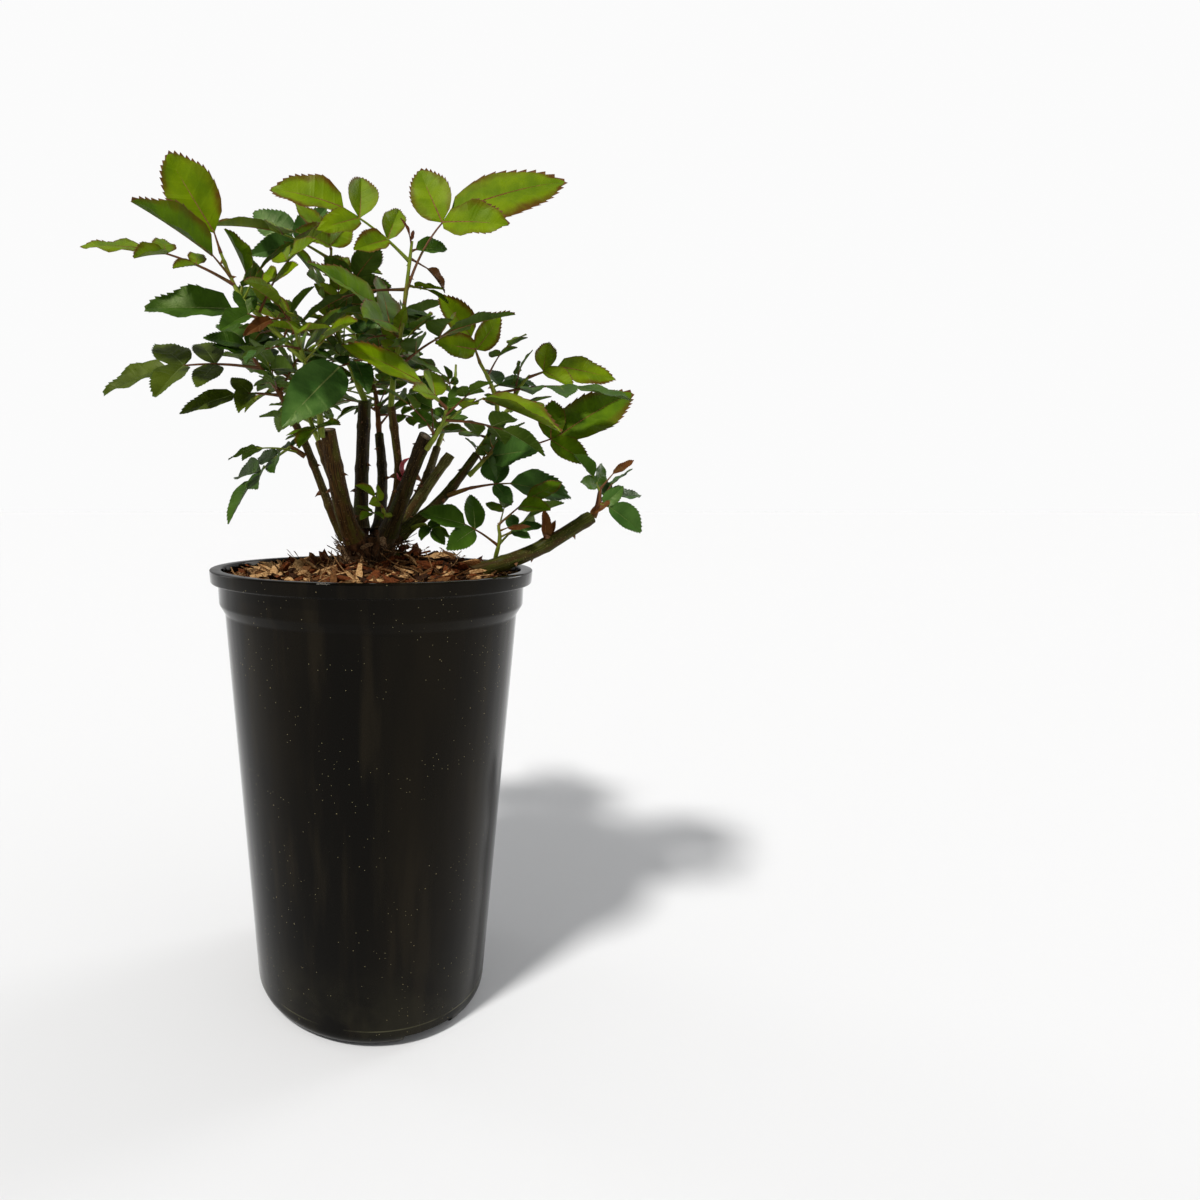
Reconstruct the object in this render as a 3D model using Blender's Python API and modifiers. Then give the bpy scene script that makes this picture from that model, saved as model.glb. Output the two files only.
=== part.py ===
# A young garden rose bush in the black nursery pot that it grew in.
#
# The plant is a knobbly graft union at soil level, the woody canes that fork from it,
# and leafy green shoots that carry on from the canes. Each cane is one limb, and each
# shoot with its compound leaves is one foliage mass. Lengths are in metres, +Z is up,
# and the origin is the middle of the pot's flat underside.

import math
import random
from collections import namedtuple

import bmesh
import bpy
from mathutils import Quaternion, Vector

MM = 0.001
GAP = 0.3 * MM

# Nursery pot
POT_HEIGHT = 270 * MM
RIM_RADIUS = 100 * MM
RIM_HEIGHT = 8 * MM
COLLAR_RADIUS = 94.5 * MM
COLLAR_HEIGHT = 13 * MM
COLLAR_SLOPE = 6 * MM
RIM_FOOT = POT_HEIGHT - RIM_HEIGHT
COLLAR_FOOT = RIM_FOOT - COLLAR_HEIGHT
WALL_TOP = COLLAR_FOOT - COLLAR_SLOPE
RIM_ROUNDING = 1.5 * MM
WALL_TOP_RADIUS = 91 * MM
WALL_FOOT_RADIUS = 74.4 * MM
WALL_THICKNESS = 1.6 * MM
FOOT_ROUNDING = 8.5 * MM
FLOOR_THICKNESS = 2 * MM
FOOT_RING_WIDTH = 20 * MM
FOOT_RING_HEIGHT = 9 * MM
FOOT_RING_INSIDE = WALL_FOOT_RADIUS - FOOT_RING_WIDTH
NOTCH_WIDTH = 33 * MM
NOTCH_HEIGHT = 6.5 * MM
NOTCH_DEPTH = 12 * MM
NOTCH_TURNS = (-62, 58, 178)
POT_STEPS = 48

# Potting mix, heaped a little round the crown
SOIL_EDGE_LEVEL = 263.5 * MM
SOIL_BED_LEVEL = 262.5 * MM
SOIL_TOP_LEVEL = 266 * MM
SOIL_BED_RADIUS = 40 * MM
SOIL_TOP_RADIUS = 24 * MM

# Graft union
CROWN_X = -1 * MM
CROWN_FLARE_RADIUS = 20 * MM
CROWN_WAIST_RADIUS = 15.5 * MM
CROWN_HEIGHT = 24 * MM
CROWN_STEPS = 12

# Leaves
PETIOLE_RADIUS = 1.1 * MM
SHOOT_TIP_RADIUS = 1.1 * MM
BLADE_THICKNESS = 1.2 * MM
BLADE_THICKEST = 0.45
ROOT_SINK = 0.1 * MM
BLADE_WIDTH = 0.56
BLADE_RINGS = ((0.36, 1.0), (0.72, 0.80))
BLADE_FOLD = 0.22
BLADE_DROOP = 0.10
FIRST_PAIR_BACK = 0.24
PAIR_SPACING = 0.46
FIRST_PAIR_SIZE = 0.88
PAIR_SHRINK = 0.13
PAIR_SPREAD = 64
PAIR_LIFT = 0.12
GOLDEN_ANGLE = 137.5
LEAF_TRIES = 14
SET_SWING = 1.2
RULE_SWING = 4.0

# Room that twigs and leaves leave to each other, and the spacing of its test points
CLEARANCE = 4.6 * MM
PITCH = 3 * MM
PETIOLE_FREE_LENGTH = 9 * MM

Cane = namedtuple("Cane", "foot radius tip_radius route")
Leaf = namedtuple(
    "Leaf", "at heading rise reach size leaflets roll bow pairs back turn",
    defaults=(5, 0, 0.07, FIRST_PAIR_SIZE, FIRST_PAIR_BACK, 0))
Stem = namedtuple("Stem", "at route leaves more", defaults=((), 0))
Shoot = namedtuple("Shoot", "cane at radius stems room heading seed", defaults=(None, 0, 1))
Blade = namedtuple("Blade", "root along normal length")
Spray = namedtuple("Spray", "midline blades")


def place(x, y, z):
    return Vector((x, y, z)) * MM


# The canes, each as a short route in millimetres from inside the crown to its cut end
# or to where its leafy shoot takes over. The first lengths belong to the crown.
CANES = {
    "cane_left_thin": Cane(24 * MM, 2.9 * MM, 2.2 * MM, [
        (-4, -3, 276), (-19, -6, 292), (-27, -10, 312), (-39, -14, 344), (-50, -14, 366)]),
    "cane_left_thick": Cane(22 * MM, 6.4 * MM, 4.6 * MM, [
        (-3, -5, 276), (-13, -15, 294), (-19, -23, 318), (-25, -32, 353)]),
    "cane_middle": Cane(24 * MM, 4.8 * MM, 4.3 * MM, [
        (-3, 5, 276), (-6, 11, 292), (-6, 13, 320), (-4, 16, 374)]),
    "cane_centre": Cane(28 * MM, 2.9 * MM, 2.4 * MM, [
        (6, 0, 280), (14, -6, 309), (17, -14, 328), (12, -25, 366)]),
    "cane_cut_right": Cane(22 * MM, 5.6 * MM, 3.9 * MM, [
        (5, -5, 278), (13, -14, 297), (22, -30, 323), (31, -45, 348)]),
    "cane_cut_second": Cane(24 * MM, 3.6 * MM, 3.2 * MM, [
        (6, 3, 280), (22, 6, 299), (36, 6, 320), (51, 6, 341)]),
    "cane_right": Cane(26 * MM, 4.2 * MM, 2.6 * MM, [
        (4, 0, 278), (22, -1, 293), (38, 0, 306), (52, 0, 321), (66, 0, 340)]),
    "branch_low_right": Cane(24 * MM, 5.6 * MM, 4.0 * MM, [
        (2, 0, 280), (18, -9, 274), (40, -24, 269), (63, -30, 270), (97, -30, 282), (130, -30, 302)]),
    "cane_back_left": Cane(26 * MM, 4.0 * MM, 3.0 * MM, [
        (-4, 4, 276), (-13, 20, 296), (-26, 40, 326), (-36, 54, 352)]),
    "cane_back": Cane(26 * MM, 4.4 * MM, 3.2 * MM, [
        (2, 5, 276), (6, 24, 298), (8, 46, 328), (6, 62, 358)]),
    "cane_back_right": Cane(26 * MM, 3.8 * MM, 2.8 * MM, [
        (8, 5, 276), (20, 18, 296), (36, 36, 322), (46, 52, 348)]),
}

# The leafy shoots. A stem starts at the given share of its cane, or of the first stem.
# A leaf has its place on the stem, its heading (0 is +X, 90 is away from the front) and
# rise in degrees, its reach from stem to tip and its end leaflet's length in
# millimetres, its number of leaflets, its roll and how far it bows up.
SHOOTS = {
    "foliage_upper_left": Shoot("cane_left_thick", 0.97, 2.2 * MM, heading=-120, seed=3, stems=[
        Stem(0, [(-30, -42, 369), (-38, -44, 392), (-44, -50, 411)], more=1, leaves=[
            Leaf(0.92, -125, 25, 38, 24, 3, -40),
            Leaf(0.74, -85, -3, 52, 20, 3, 0),
            Leaf(0.98, -146, -22, 30, 19, 1, -60),
            Leaf(0.62, -50, 20, 46, 24, 3, 40),
            Leaf(0.06, -112, -22, 28, 21, 3, 8)]),
        Stem(0.62, [(-61, -36, 413), (-75, -30, 428), (-86, -28, 453)], more=1, leaves=[
            Leaf(0.97, -174, 60, 61, 50, 1, -85),
            Leaf(0.80, -149, 33, 62, 48, 1, -55),
            Leaf(0.74, -177, 15, 88, 38, 5, -35, pairs=0.6),
            Leaf(0.40, -172, 6, 66, 48, 3, -50, pairs=0.5),
            Leaf(0.62, -29, 44, 43, 27, 3, 30),
            Leaf(0.66, 85, 40, 58, 29, 3, 60)])]),
    "foliage_left": Shoot("cane_left_thin", 1, 1.8 * MM, seed=5, stems=[
        Stem(0, [(-57, -12, 379), (-65, -10, 389), (-72, -8, 398)], more=2, leaves=[
            Leaf(0.75, -171, -8, 94, 40, 5, -38),
            Leaf(0.22, -164, -10, 60, 34, 3, -40, pairs=0.6),
            Leaf(0.40, -98, 29, 43, 25, 3, -30),
            Leaf(0.96, 134, 40, 46, 29, 5, -20)])]),
    "foliage_low_left": Shoot("cane_left_thin", 0.72, 1.4 * MM, heading=180, seed=7, stems=[
        Stem(0, [(-46, -14, 342), (-49, -15, 344)], leaves=[
            Leaf(0.90, -168, -49, 60, 30, 5, -16),
            Leaf(0.50, 120, 5, 30, 18, 3, -30)])]),
    "foliage_middle": Shoot("cane_middle", 1, 2.2 * MM, seed=9, stems=[
        Stem(0, [(-13, 22, 397), (-20, 23, 414), (-25, 20, 446), (-25, 20, 469)], more=5, leaves=[
            Leaf(1.00, -165, 56, 35, 30, 3, -60),
            Leaf(0.66, 155, 50, 92, 37, 3, -60),
            Leaf(0.47, -141, 54, 63, 24, 5, -50),
            Leaf(0.79, 44, 29, 49, 27, 3, 30),
            Leaf(0.30, -129, -18, 44, 24, 3, -20)])]),
    "foliage_centre": Shoot("cane_centre", 1, 2.0 * MM, seed=11, stems=[
        Stem(0, [(13, -26, 381), (16, -28, 400), (19, -31, 421), (23, -34, 455)], more=2, leaves=[
            Leaf(0.88, -179, 30, 88, 42, 5, -60, pairs=0.7),
            Leaf(0.70, -2, 38, 109, 64, 3, 62, 0.17, 0.62, 0.10, -8),
            Leaf(0.98, -128, 56, 15, 10, 3, -40),
            Leaf(0.94, 18, 12, 24, 21, 1, 60),
            Leaf(0.90, 40, -20, 34, 20, 1, 70),
            Leaf(0.42, -147, 31, 66, 46, 3, -50),
            Leaf(0.53, 82, 17, 55, 30, 5, 30),
            Leaf(0.30, 62, 4, 47, 31, 3, 40),
            Leaf(0.28, -135, -26, 91, 48, 3, -50, 0.12, 0.5)])]),
    "foliage_cut_right": Shoot("cane_cut_right", 0.94, 1.6 * MM, heading=-62, seed=13, stems=[
        Stem(0, [(39, -50, 352), (42, -52, 362)], more=1, leaves=[
            Leaf(0.95, -167, 32, 66, 47, 3, -38, pairs=0.52),
            Leaf(0.50, -12, 0, 66, 43, 3, 14, 0.26, 0.4),
            Leaf(0.80, 2, 26, 54, 38, 3, 50, pairs=0.5)])]),
    "foliage_right": Shoot("cane_right", 1, 2.0 * MM, seed=15, stems=[
        Stem(0, [(78, 0, 359), (86, 0, 369), (92, 0, 381), (98, 0, 388)], leaves=[
            Leaf(0.97, -2, 2, 54, 36, 3, 55, 0.12, 0.62),
            Leaf(0.20, 172, 8, 36, 24, 3, -20)]),
        Stem(0.40, [(78, 2, 373), (74, 4, 385), (67, 5, 398)], more=1, leaves=[
            Leaf(0.95, -168, 54, 48, 32, 3, -85),
            Leaf(0.54, 28, 9, 36, 26, 3, 30)])]),
    "foliage_right_low": Shoot("cane_right", 0.86, 1.6 * MM, heading=-30, seed=17, stems=[
        Stem(0, [(72, -6, 338), (78, -8, 343)], leaves=[
            Leaf(0.90, -2, 30, 94, 55, 3, 64, -0.10, 0.50, 0.08, -22),
            Leaf(0.50, -56, 6, 44, 37, 3, 70, pairs=0.6)])]),
    "foliage_low_right": Shoot("cane_right", 0.66, 1.5 * MM, heading=-60, seed=19, stems=[
        Stem(0, [(58, -8, 318), (61, -11, 319)], leaves=[
            Leaf(0.95, -5, -3, 62, 38, 3, 50, pairs=0.5)])]),
    "foliage_branch_middle": Shoot("branch_low_right", 0.56, 1.3 * MM, heading=90, seed=21, stems=[
        Stem(0, [(76, -29, 288), (75, -29, 297)], leaves=[
            Leaf(0.50, 178, 24, 50, 27, 3, -55),
            Leaf(1.00, 4, 36, 46, 24, 3, 30, 0.04),
            Leaf(0.85, -40, 10, 20, 14, 1, 40),
            Leaf(0.70, -12, 14, 27, 15, 3, 40),
            Leaf(0.90, 67, 35, 33, 15, 3, 10)])]),
    "foliage_branch_end": Shoot("branch_low_right", 1, 1.6 * MM, seed=23, stems=[
        Stem(0, [(133, -30, 309), (134, -30, 318)], leaves=[
            Leaf(0.45, -25, -30, 29, 23, 3, 60, pairs=0.7),
            Leaf(0.90, -168, 52, 27, 18, 3, -60),
            Leaf(0.60, 20, 8, 34, 24, 3, 35, pairs=0.8),
            Leaf(1.00, 0, 42, 26, 15, 1, 50)])]),
    "sprout_front": Shoot("cane_cut_right", 0.36, 1.2 * MM, heading=-130, seed=25, stems=[
        Stem(0, [(8, -26, 303), (7, -29, 307)], leaves=[
            Leaf(1.00, -150, 40, 22, 14, 3, -50),
            Leaf(0.60, -110, 0, 28, 12, 3, -20)])]),
    "sprout_right": Shoot("cane_right", 0.32, 1.2 * MM, heading=-60, seed=27, stems=[
        Stem(0, [(30, -8, 296), (33, -11, 297)], leaves=[
            Leaf(1.00, -55, -32, 21, 13, 5, 40),
            Leaf(0.50, -10, -20, 20, 12, 3, 40)])]),
    "foliage_back_left": Shoot("cane_back_left", 1, 2.0 * MM, heading=110, seed=31, stems=[
        Stem(0, [(-46, 68, 376), (-54, 80, 404), (-58, 88, 430)], more=8)],
        room=((-135, -5), (20, 150), (310, 476))),
    "foliage_back": Shoot("cane_back", 1, 2.2 * MM, heading=90, seed=33, stems=[
        Stem(0, [(4, 72, 384), (-1, 82, 412), (-4, 88, 440)], more=8)],
        room=((-55, 55), (28, 160), (315, 480))),
    "foliage_back_right": Shoot("cane_back_right", 1, 1.9 * MM, heading=60, seed=35, stems=[
        Stem(0, [(54, 64, 368), (60, 74, 390), (62, 82, 410)], more=5)],
        room=((0, 80), (15, 150), (300, 405))),
}

# Colour, roughness and metallic value of each material
FINISHES = {
    "black_plastic": ((0.012, 0.012, 0.013), 0.22, 0.0),
    "bark_mulch": ((0.20, 0.11, 0.06), 0.9, 0.0),
    "rose_wood": ((0.17, 0.10, 0.06), 0.75, 0.0),
    "green_cane": ((0.19, 0.20, 0.06), 0.6, 0.0),
    "rose_foliage": ((0.13, 0.24, 0.05), 0.5, 0.0),
}
GREEN_CANES = ("cane_left_thin", "cane_right", "branch_low_right", "cane_back_right")


def clear_scene():
    for thing in list(bpy.data.objects):
        bpy.data.objects.remove(thing)


def new_collection(name):
    collection = bpy.data.collections.new(name)
    bpy.context.scene.collection.children.link(collection)
    return collection


def make_materials():
    materials = {}
    for name, (colour, roughness, metallic) in FINISHES.items():
        material = bpy.data.materials.new(name)
        material.use_nodes = True
        shader = material.node_tree.nodes["Principled BSDF"]
        shader.inputs["Base Color"].default_value = (*colour, 1)
        shader.inputs["Roughness"].default_value = roughness
        shader.inputs["Metallic"].default_value = metallic
        material.diffuse_color = (*colour, 1)
        materials[name] = material
    return materials


# Curves along canes, shoots and leaves

def smooth_route(points, step):
    """Points about one step apart on a smooth curve through the route's own points."""
    ends = [2 * points[0] - points[1], *points, 2 * points[-1] - points[-2]]
    curve = []
    for before, start, end, after in zip(ends, ends[1:], ends[2:], ends[3:]):
        count = max(1, round((end - start).length / step))
        for k in range(count):
            t = k / count
            linear = (end - before) * t
            square = (2 * before - 5 * start + 4 * end - after) * t * t
            cube = (3 * start - before - 3 * end + after) * t * t * t
            curve.append(start + (linear + square + cube) / 2)
    curve.append(points[-1])
    return curve


def lengths_along(curve):
    lengths = [0.0]
    for start, end in zip(curve, curve[1:]):
        lengths.append(lengths[-1] + (end - start).length)
    return lengths


def point_along(curve, distance):
    """The point a distance along a curve, and the curve's direction there."""
    lengths = lengths_along(curve)
    distance = min(max(distance, 0.0), lengths[-1])
    for k in range(1, len(curve)):
        if distance <= lengths[k] or k == len(curve) - 1:
            run = curve[k] - curve[k - 1]
            part = (distance - lengths[k - 1]) / run.length
            return curve[k - 1] + run * part, run.normalized()


def direction(heading, rise):
    turn, lift = math.radians(heading), math.radians(rise)
    return Vector((math.cos(turn) * math.cos(lift), math.sin(turn) * math.cos(lift), math.sin(lift)))


# The compound leaf: a bowed midline with an end leaflet and opposite pairs

def grow_leaf(base, leaf):
    """The midline and the blades of one compound leaf that grows from base."""
    along = direction(leaf.heading, leaf.rise)
    up = (Vector((0, 0, 1)) - along * along.z).normalized()
    up = Quaternion(along, math.radians(leaf.roll)) @ up
    lift = (Vector((0, 0, 1)) - along * along.z).normalized()
    reach, size = leaf.reach * MM, leaf.size * MM
    stalk = max(reach - size, 2 * MM)

    def midline(distance):
        share = distance / reach
        return base + along * distance + lift * (4 * leaf.bow * reach * share * (1 - share))

    def heading_at(distance):
        return (midline(distance + 1 * MM) - midline(distance)).normalized()

    end = midline(stalk)
    tip = midline(reach) - end
    end_up = Quaternion(tip.normalized(), math.radians(leaf.turn)) @ up
    blades = [make_blade(end, tip.normalized(), end_up, tip.length)]
    pairs = (leaf.leaflets - 1) // 2
    for pair in range(pairs):
        back = size * (leaf.back + PAIR_SPACING * pair)
        on_stalk = max(stalk - back, stalk * (0.5 - 0.15 * pair))
        length = size * (leaf.pairs - PAIR_SHRINK * pair)
        spread = math.radians(PAIR_SPREAD + 6 * pair)
        forward = heading_at(on_stalk)
        side = up.cross(forward).normalized()
        for hand in (-1, 1):
            outward = forward * math.cos(spread) + side * hand * math.sin(spread) + up * PAIR_LIFT
            blades.append(make_blade(midline(on_stalk), outward.normalized(), up, length))
    steps = max(1, math.ceil(stalk / (22 * MM)))
    return Spray([midline((stalk + 1 * MM) * k / steps) for k in range(steps + 1)], blades)


def make_blade(root, along, up, length):
    normal = (up - along * up.dot(along)).normalized()
    return Blade(root, along, normal, length)


def blade_half(share):
    """Half the blade's width, as a share of its widest, along its length."""
    outline = ((0.0, 0.0), *BLADE_RINGS, (1.0, 0.0))
    for (start, low), (end, high) in zip(outline, outline[1:]):
        if share <= end:
            return low + (high - low) * (share - start) / (end - start)
    return 0.0


def blade_point(blade, share, across):
    """A point of the blade's middle surface; across runs from -1 to 1 at its edges."""
    half = blade_half(share) * blade.length * BLADE_WIDTH / 2
    side = blade.normal.cross(blade.along)
    lift = BLADE_FOLD * abs(across) * half - BLADE_DROOP * blade.length * share * share
    return blade.root + blade.along * blade.length * share + side * across * half + blade.normal * lift


# Room in the crown

def cell_of(point):
    return tuple(math.floor(c / CLEARANCE) for c in point)


class Room:
    """The points that limbs, stems and leaves already take, in a grid of cells."""

    def __init__(self):
        self.cells = {}

    def take(self, points, owner):
        for point in points:
            self.cells.setdefault(cell_of(point), []).append((point, owner))

    def is_free(self, points, clashes):
        for point in points:
            x, y, z = cell_of(point)
            for i in (x - 1, x, x + 1):
                for j in (y - 1, y, y + 1):
                    for k in (z - 1, z, z + 1):
                        for other, owner in self.cells.get((i, j, k), ()):
                            if clashes(owner) and (other - point).length < CLEARANCE:
                                return False
        return True


def blade_test_points(blade):
    rows = max(3, math.ceil(blade.length / PITCH))
    points = []
    for i in range(2, rows + 1):
        half = blade_half(i / rows) * blade.length * BLADE_WIDTH / 2
        columns = max(1, math.ceil(half / PITCH))
        for j in range(-columns, columns + 1):
            points.append(blade_point(blade, i / rows, j / columns))
    return points


def line_test_points(curve, start=0.0):
    length = lengths_along(curve)[-1]
    count = max(1, math.ceil((length - start) / PITCH))
    return [point_along(curve, start + (length - start) * k / count)[0] for k in range(count + 1)]


def skin_test_points(curve, radius):
    points = []
    length = lengths_along(curve)[-1]
    count = max(1, math.ceil(length / PITCH))
    for k in range(count + 1):
        point, along = point_along(curve, length * k / count)
        out = along.orthogonal().normalized()
        for turn in range(0, 360, 45):
            points.append(point + Quaternion(along, math.radians(turn)) @ out * radius)
    return points


def in_room(points, room):
    if room is None:
        return True
    return all(low * MM <= c <= high * MM for p in points for c, (low, high) in zip(p, room))


# The plan of the plant

def cane_curve(cane):
    return smooth_route([place(*point) for point in cane.route], 9 * MM)


def shoot_start(cane, shoot, target):
    """Where a shoot leaves its cane, clear of the bark, on the way to its first point."""
    curve = cane_curve(cane)
    length = lengths_along(curve)[-1]
    point, along = point_along(curve, length * shoot.at)
    if shoot.at == 1:
        outward, surface = along, point
    else:
        outward = direction(shoot.heading, 0)
        outward = (outward - along * outward.dot(along)).normalized()
        radius = cane.radius + (cane.tip_radius - cane.radius) * shoot.at
        surface = point + outward * radius
    tilt = (target - surface).normalized().angle(outward)
    return surface + outward * (1.5 * GAP + shoot.radius * math.sin(tilt))


def stem_curves(shoot):
    curves = []
    for stem in shoot.stems:
        points = [place(*point) for point in stem.route]
        if curves:
            start = point_along(curves[0], lengths_along(curves[0])[-1] * stem.at)[0]
        else:
            start = shoot_start(CANES[shoot.cane], shoot, points[0])
        curves.append(smooth_route([start, *points], 12 * MM))
    return curves


def leaf_by_rule(dice, number, count):
    size = dice.uniform(26, 36)
    return Leaf(
        at=(number + dice.uniform(0.35, 0.75)) / count,
        heading=GOLDEN_ANGLE * number + dice.uniform(-25, 25),
        rise=dice.uniform(-5, 40),
        reach=size * dice.uniform(1.9, 2.5),
        size=size,
        leaflets=5,
        roll=dice.uniform(-25, 25),
    )


def varied(leaf, dice, swing):
    """The leaf turned a little from where it was asked for."""
    return leaf._replace(
        heading=leaf.heading + dice.uniform(-swing, swing),
        rise=leaf.rise + dice.uniform(-swing, swing) / 2,
    )


def fit_leaf(room, name, shoot, curve, leaf, number, dice, swing):
    """The first varied leaf whose blades all find room, or the fullest one that has any."""
    best = None
    length = lengths_along(curve)[-1]
    for attempt in range(LEAF_TRIES):
        trial = varied(leaf, dice, attempt * swing)
        spray = grow_leaf(point_along(curve, length * min(trial.at, 1))[0], trial)
        stalk = line_test_points(spray.midline, PETIOLE_FREE_LENGTH)
        if not room.is_free(stalk, lambda owner: owner[0] != name):
            continue
        blades = []
        for blade in spray.blades:
            points = blade_test_points(blade)
            if in_room(points, shoot.room) and room.is_free(
                    points, lambda owner: owner[0] != name or owner[1] not in (0, number)):
                blades.append(blade)
        if spray.blades[0] in blades and (best is None or len(blades) > len(best.blades)):
            best = Spray(spray.midline, blades)
        if best and len(best.blades) == leaf.leaflets:
            break
    return best


def plan_foliage():
    """Each shoot's stems and the sprays of leaflets that find room on them."""
    room = Room()
    for name, cane in CANES.items():
        room.take(skin_test_points(cane_curve(cane), cane.radius), (name, 0))
    plans = {name: (stem_curves(shoot), []) for name, shoot in SHOOTS.items()}
    for name, (curves, sprays) in plans.items():
        for curve in curves:
            room.take(line_test_points(curve, PETIOLE_FREE_LENGTH), (name, 0))
    for by_rule in (False, True):
        swing = RULE_SWING if by_rule else SET_SWING
        for name, shoot in SHOOTS.items():
            dice = random.Random(shoot.seed + 100 * by_rule)
            curves, sprays = plans[name]
            for stem, curve in zip(shoot.stems, curves):
                leaves = stem.leaves
                if by_rule:
                    leaves = [leaf_by_rule(dice, k, stem.more) for k in range(stem.more)]
                for leaf in leaves:
                    number = len(sprays) + 1
                    spray = fit_leaf(room, name, shoot, curve, leaf, number, dice, swing)
                    if spray is None:
                        continue
                    sprays.append(spray)
                    room.take(line_test_points(spray.midline, PETIOLE_FREE_LENGTH), (name, 0))
                    for blade in spray.blades:
                        room.take(blade_test_points(blade), (name, number))
    return plans


# Building solids

def add_object(name, data, collection, material=None):
    thing = bpy.data.objects.new(name, data)
    collection.objects.link(thing)
    if material:
        thing.data.materials.append(material)
    return thing


def mesh_of(thing, weld=0.01 * MM):
    """The object's evaluated mesh in triangles, with its caps and poles welded."""
    depsgraph = bpy.context.evaluated_depsgraph_get()
    mesh = bpy.data.meshes.new_from_object(thing.evaluated_get(depsgraph))
    work = bmesh.new()
    work.from_mesh(mesh)
    if weld:
        bmesh.ops.remove_doubles(work, verts=work.verts, dist=weld)
    bmesh.ops.triangulate(work, faces=work.faces)
    work.to_mesh(mesh)
    work.free()
    return mesh


def made_mesh(thing):
    """Replace a curve or a modified object by a plain mesh object of the same name."""
    name, collection = thing.name, thing.users_collection[0]
    mesh = mesh_of(thing)
    place_in_world = thing.matrix_world.copy()
    bpy.data.objects.remove(thing)
    solid = bpy.data.objects.new(name, mesh)
    solid.matrix_world = place_in_world
    collection.objects.link(solid)
    return solid


def turned(name, profile, steps, collection, material=None, x=0.0):
    """A turned solid from a profile that runs down its outer side."""
    work = bmesh.new()
    points = [work.verts.new((radius, 0, height)) for radius, height in profile]
    for start, end in zip(points, points[1:]):
        work.edges.new((start, end))
    mesh = bpy.data.meshes.new(name)
    work.to_mesh(mesh)
    work.free()
    thing = add_object(name, mesh, collection, material)
    thing.location.x = x
    screw = thing.modifiers.new("turn", "SCREW")
    screw.steps = screw.render_steps = steps
    screw.use_merge_vertices = True
    screw.merge_threshold = 0.01 * MM
    return thing


def tube(name, points, radii, collection, material=None, section=None):
    """A tapering tube: round, or three-sided where a section is given."""
    data = bpy.data.curves.new(name, "CURVE")
    data.dimensions = "3D"
    data.use_fill_caps = True
    thickest = max(radii)
    if section:
        data.bevel_mode = "OBJECT"
        data.bevel_object = section
        thickest = 1.0
    else:
        data.bevel_depth = thickest
        data.bevel_resolution = 2
    spline = data.splines.new("POLY")
    spline.points.add(len(points) - 1)
    for point, at, radius in zip(spline.points, points, radii):
        point.co = (*at, 1)
        point.radius = radius / thickest
    return add_object(name, data, collection, material)


def three_sided_section(collection):
    data = bpy.data.curves.new("three_sided_section", "CURVE")
    data.dimensions = "2D"
    spline = data.splines.new("POLY")
    spline.points.add(2)
    for k, point in enumerate(spline.points):
        turn = -math.tau * k / 3
        point.co = (math.cos(turn), math.sin(turn), 0, 1)
    spline.use_cyclic_u = True
    section = add_object("three_sided_section", data, collection)
    section.hide_render = True
    section.display_type = "WIRE"
    return section


def blade_solid(name, blade, collection):
    """A leaflet: a six-sided double pyramid flattened into a thin folded blade."""
    work = bmesh.new()
    bmesh.ops.create_uvsphere(work, u_segments=6, v_segments=2, radius=1)
    for vert in work.verts:
        if abs(vert.co.z) > 0.5:
            middle = blade_point(blade, BLADE_THICKEST, 0)
            vert.co = middle + blade.normal * math.copysign(BLADE_THICKNESS / 2, vert.co.z)
        elif abs(vert.co.x) < 0.1:
            vert.co = blade_point(blade, 1.0 if vert.co.y > 0 else -ROOT_SINK / blade.length, 0)
        else:
            share = BLADE_RINGS[1 if vert.co.y > 0 else 0][0]
            vert.co = blade_point(blade, share, math.copysign(1, -vert.co.x))
    mesh = bpy.data.meshes.new(name)
    work.to_mesh(mesh)
    work.free()
    return add_object(name, mesh, collection)


def joined(base, others):
    """Fuse a collection of solids onto a base solid, and remove the collection."""
    union = base.modifiers.new("join", "BOOLEAN")
    union.operation = "UNION"
    union.operand_type = "COLLECTION"
    union.collection = others
    union.solver = "EXACT"
    mesh = mesh_of(base, weld=0)
    base.modifiers.remove(union)
    base.data = mesh
    for thing in list(others.objects):
        bpy.data.objects.remove(thing)
    bpy.data.collections.remove(others)
    return base


# The pot and the potting mix

def wall_radius(height):
    """The tapering wall's outer radius at a height."""
    share = (height - FOOT_ROUNDING) / (WALL_TOP - FOOT_ROUNDING)
    return WALL_FOOT_RADIUS + (WALL_TOP_RADIUS - WALL_FOOT_RADIUS) * share


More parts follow.
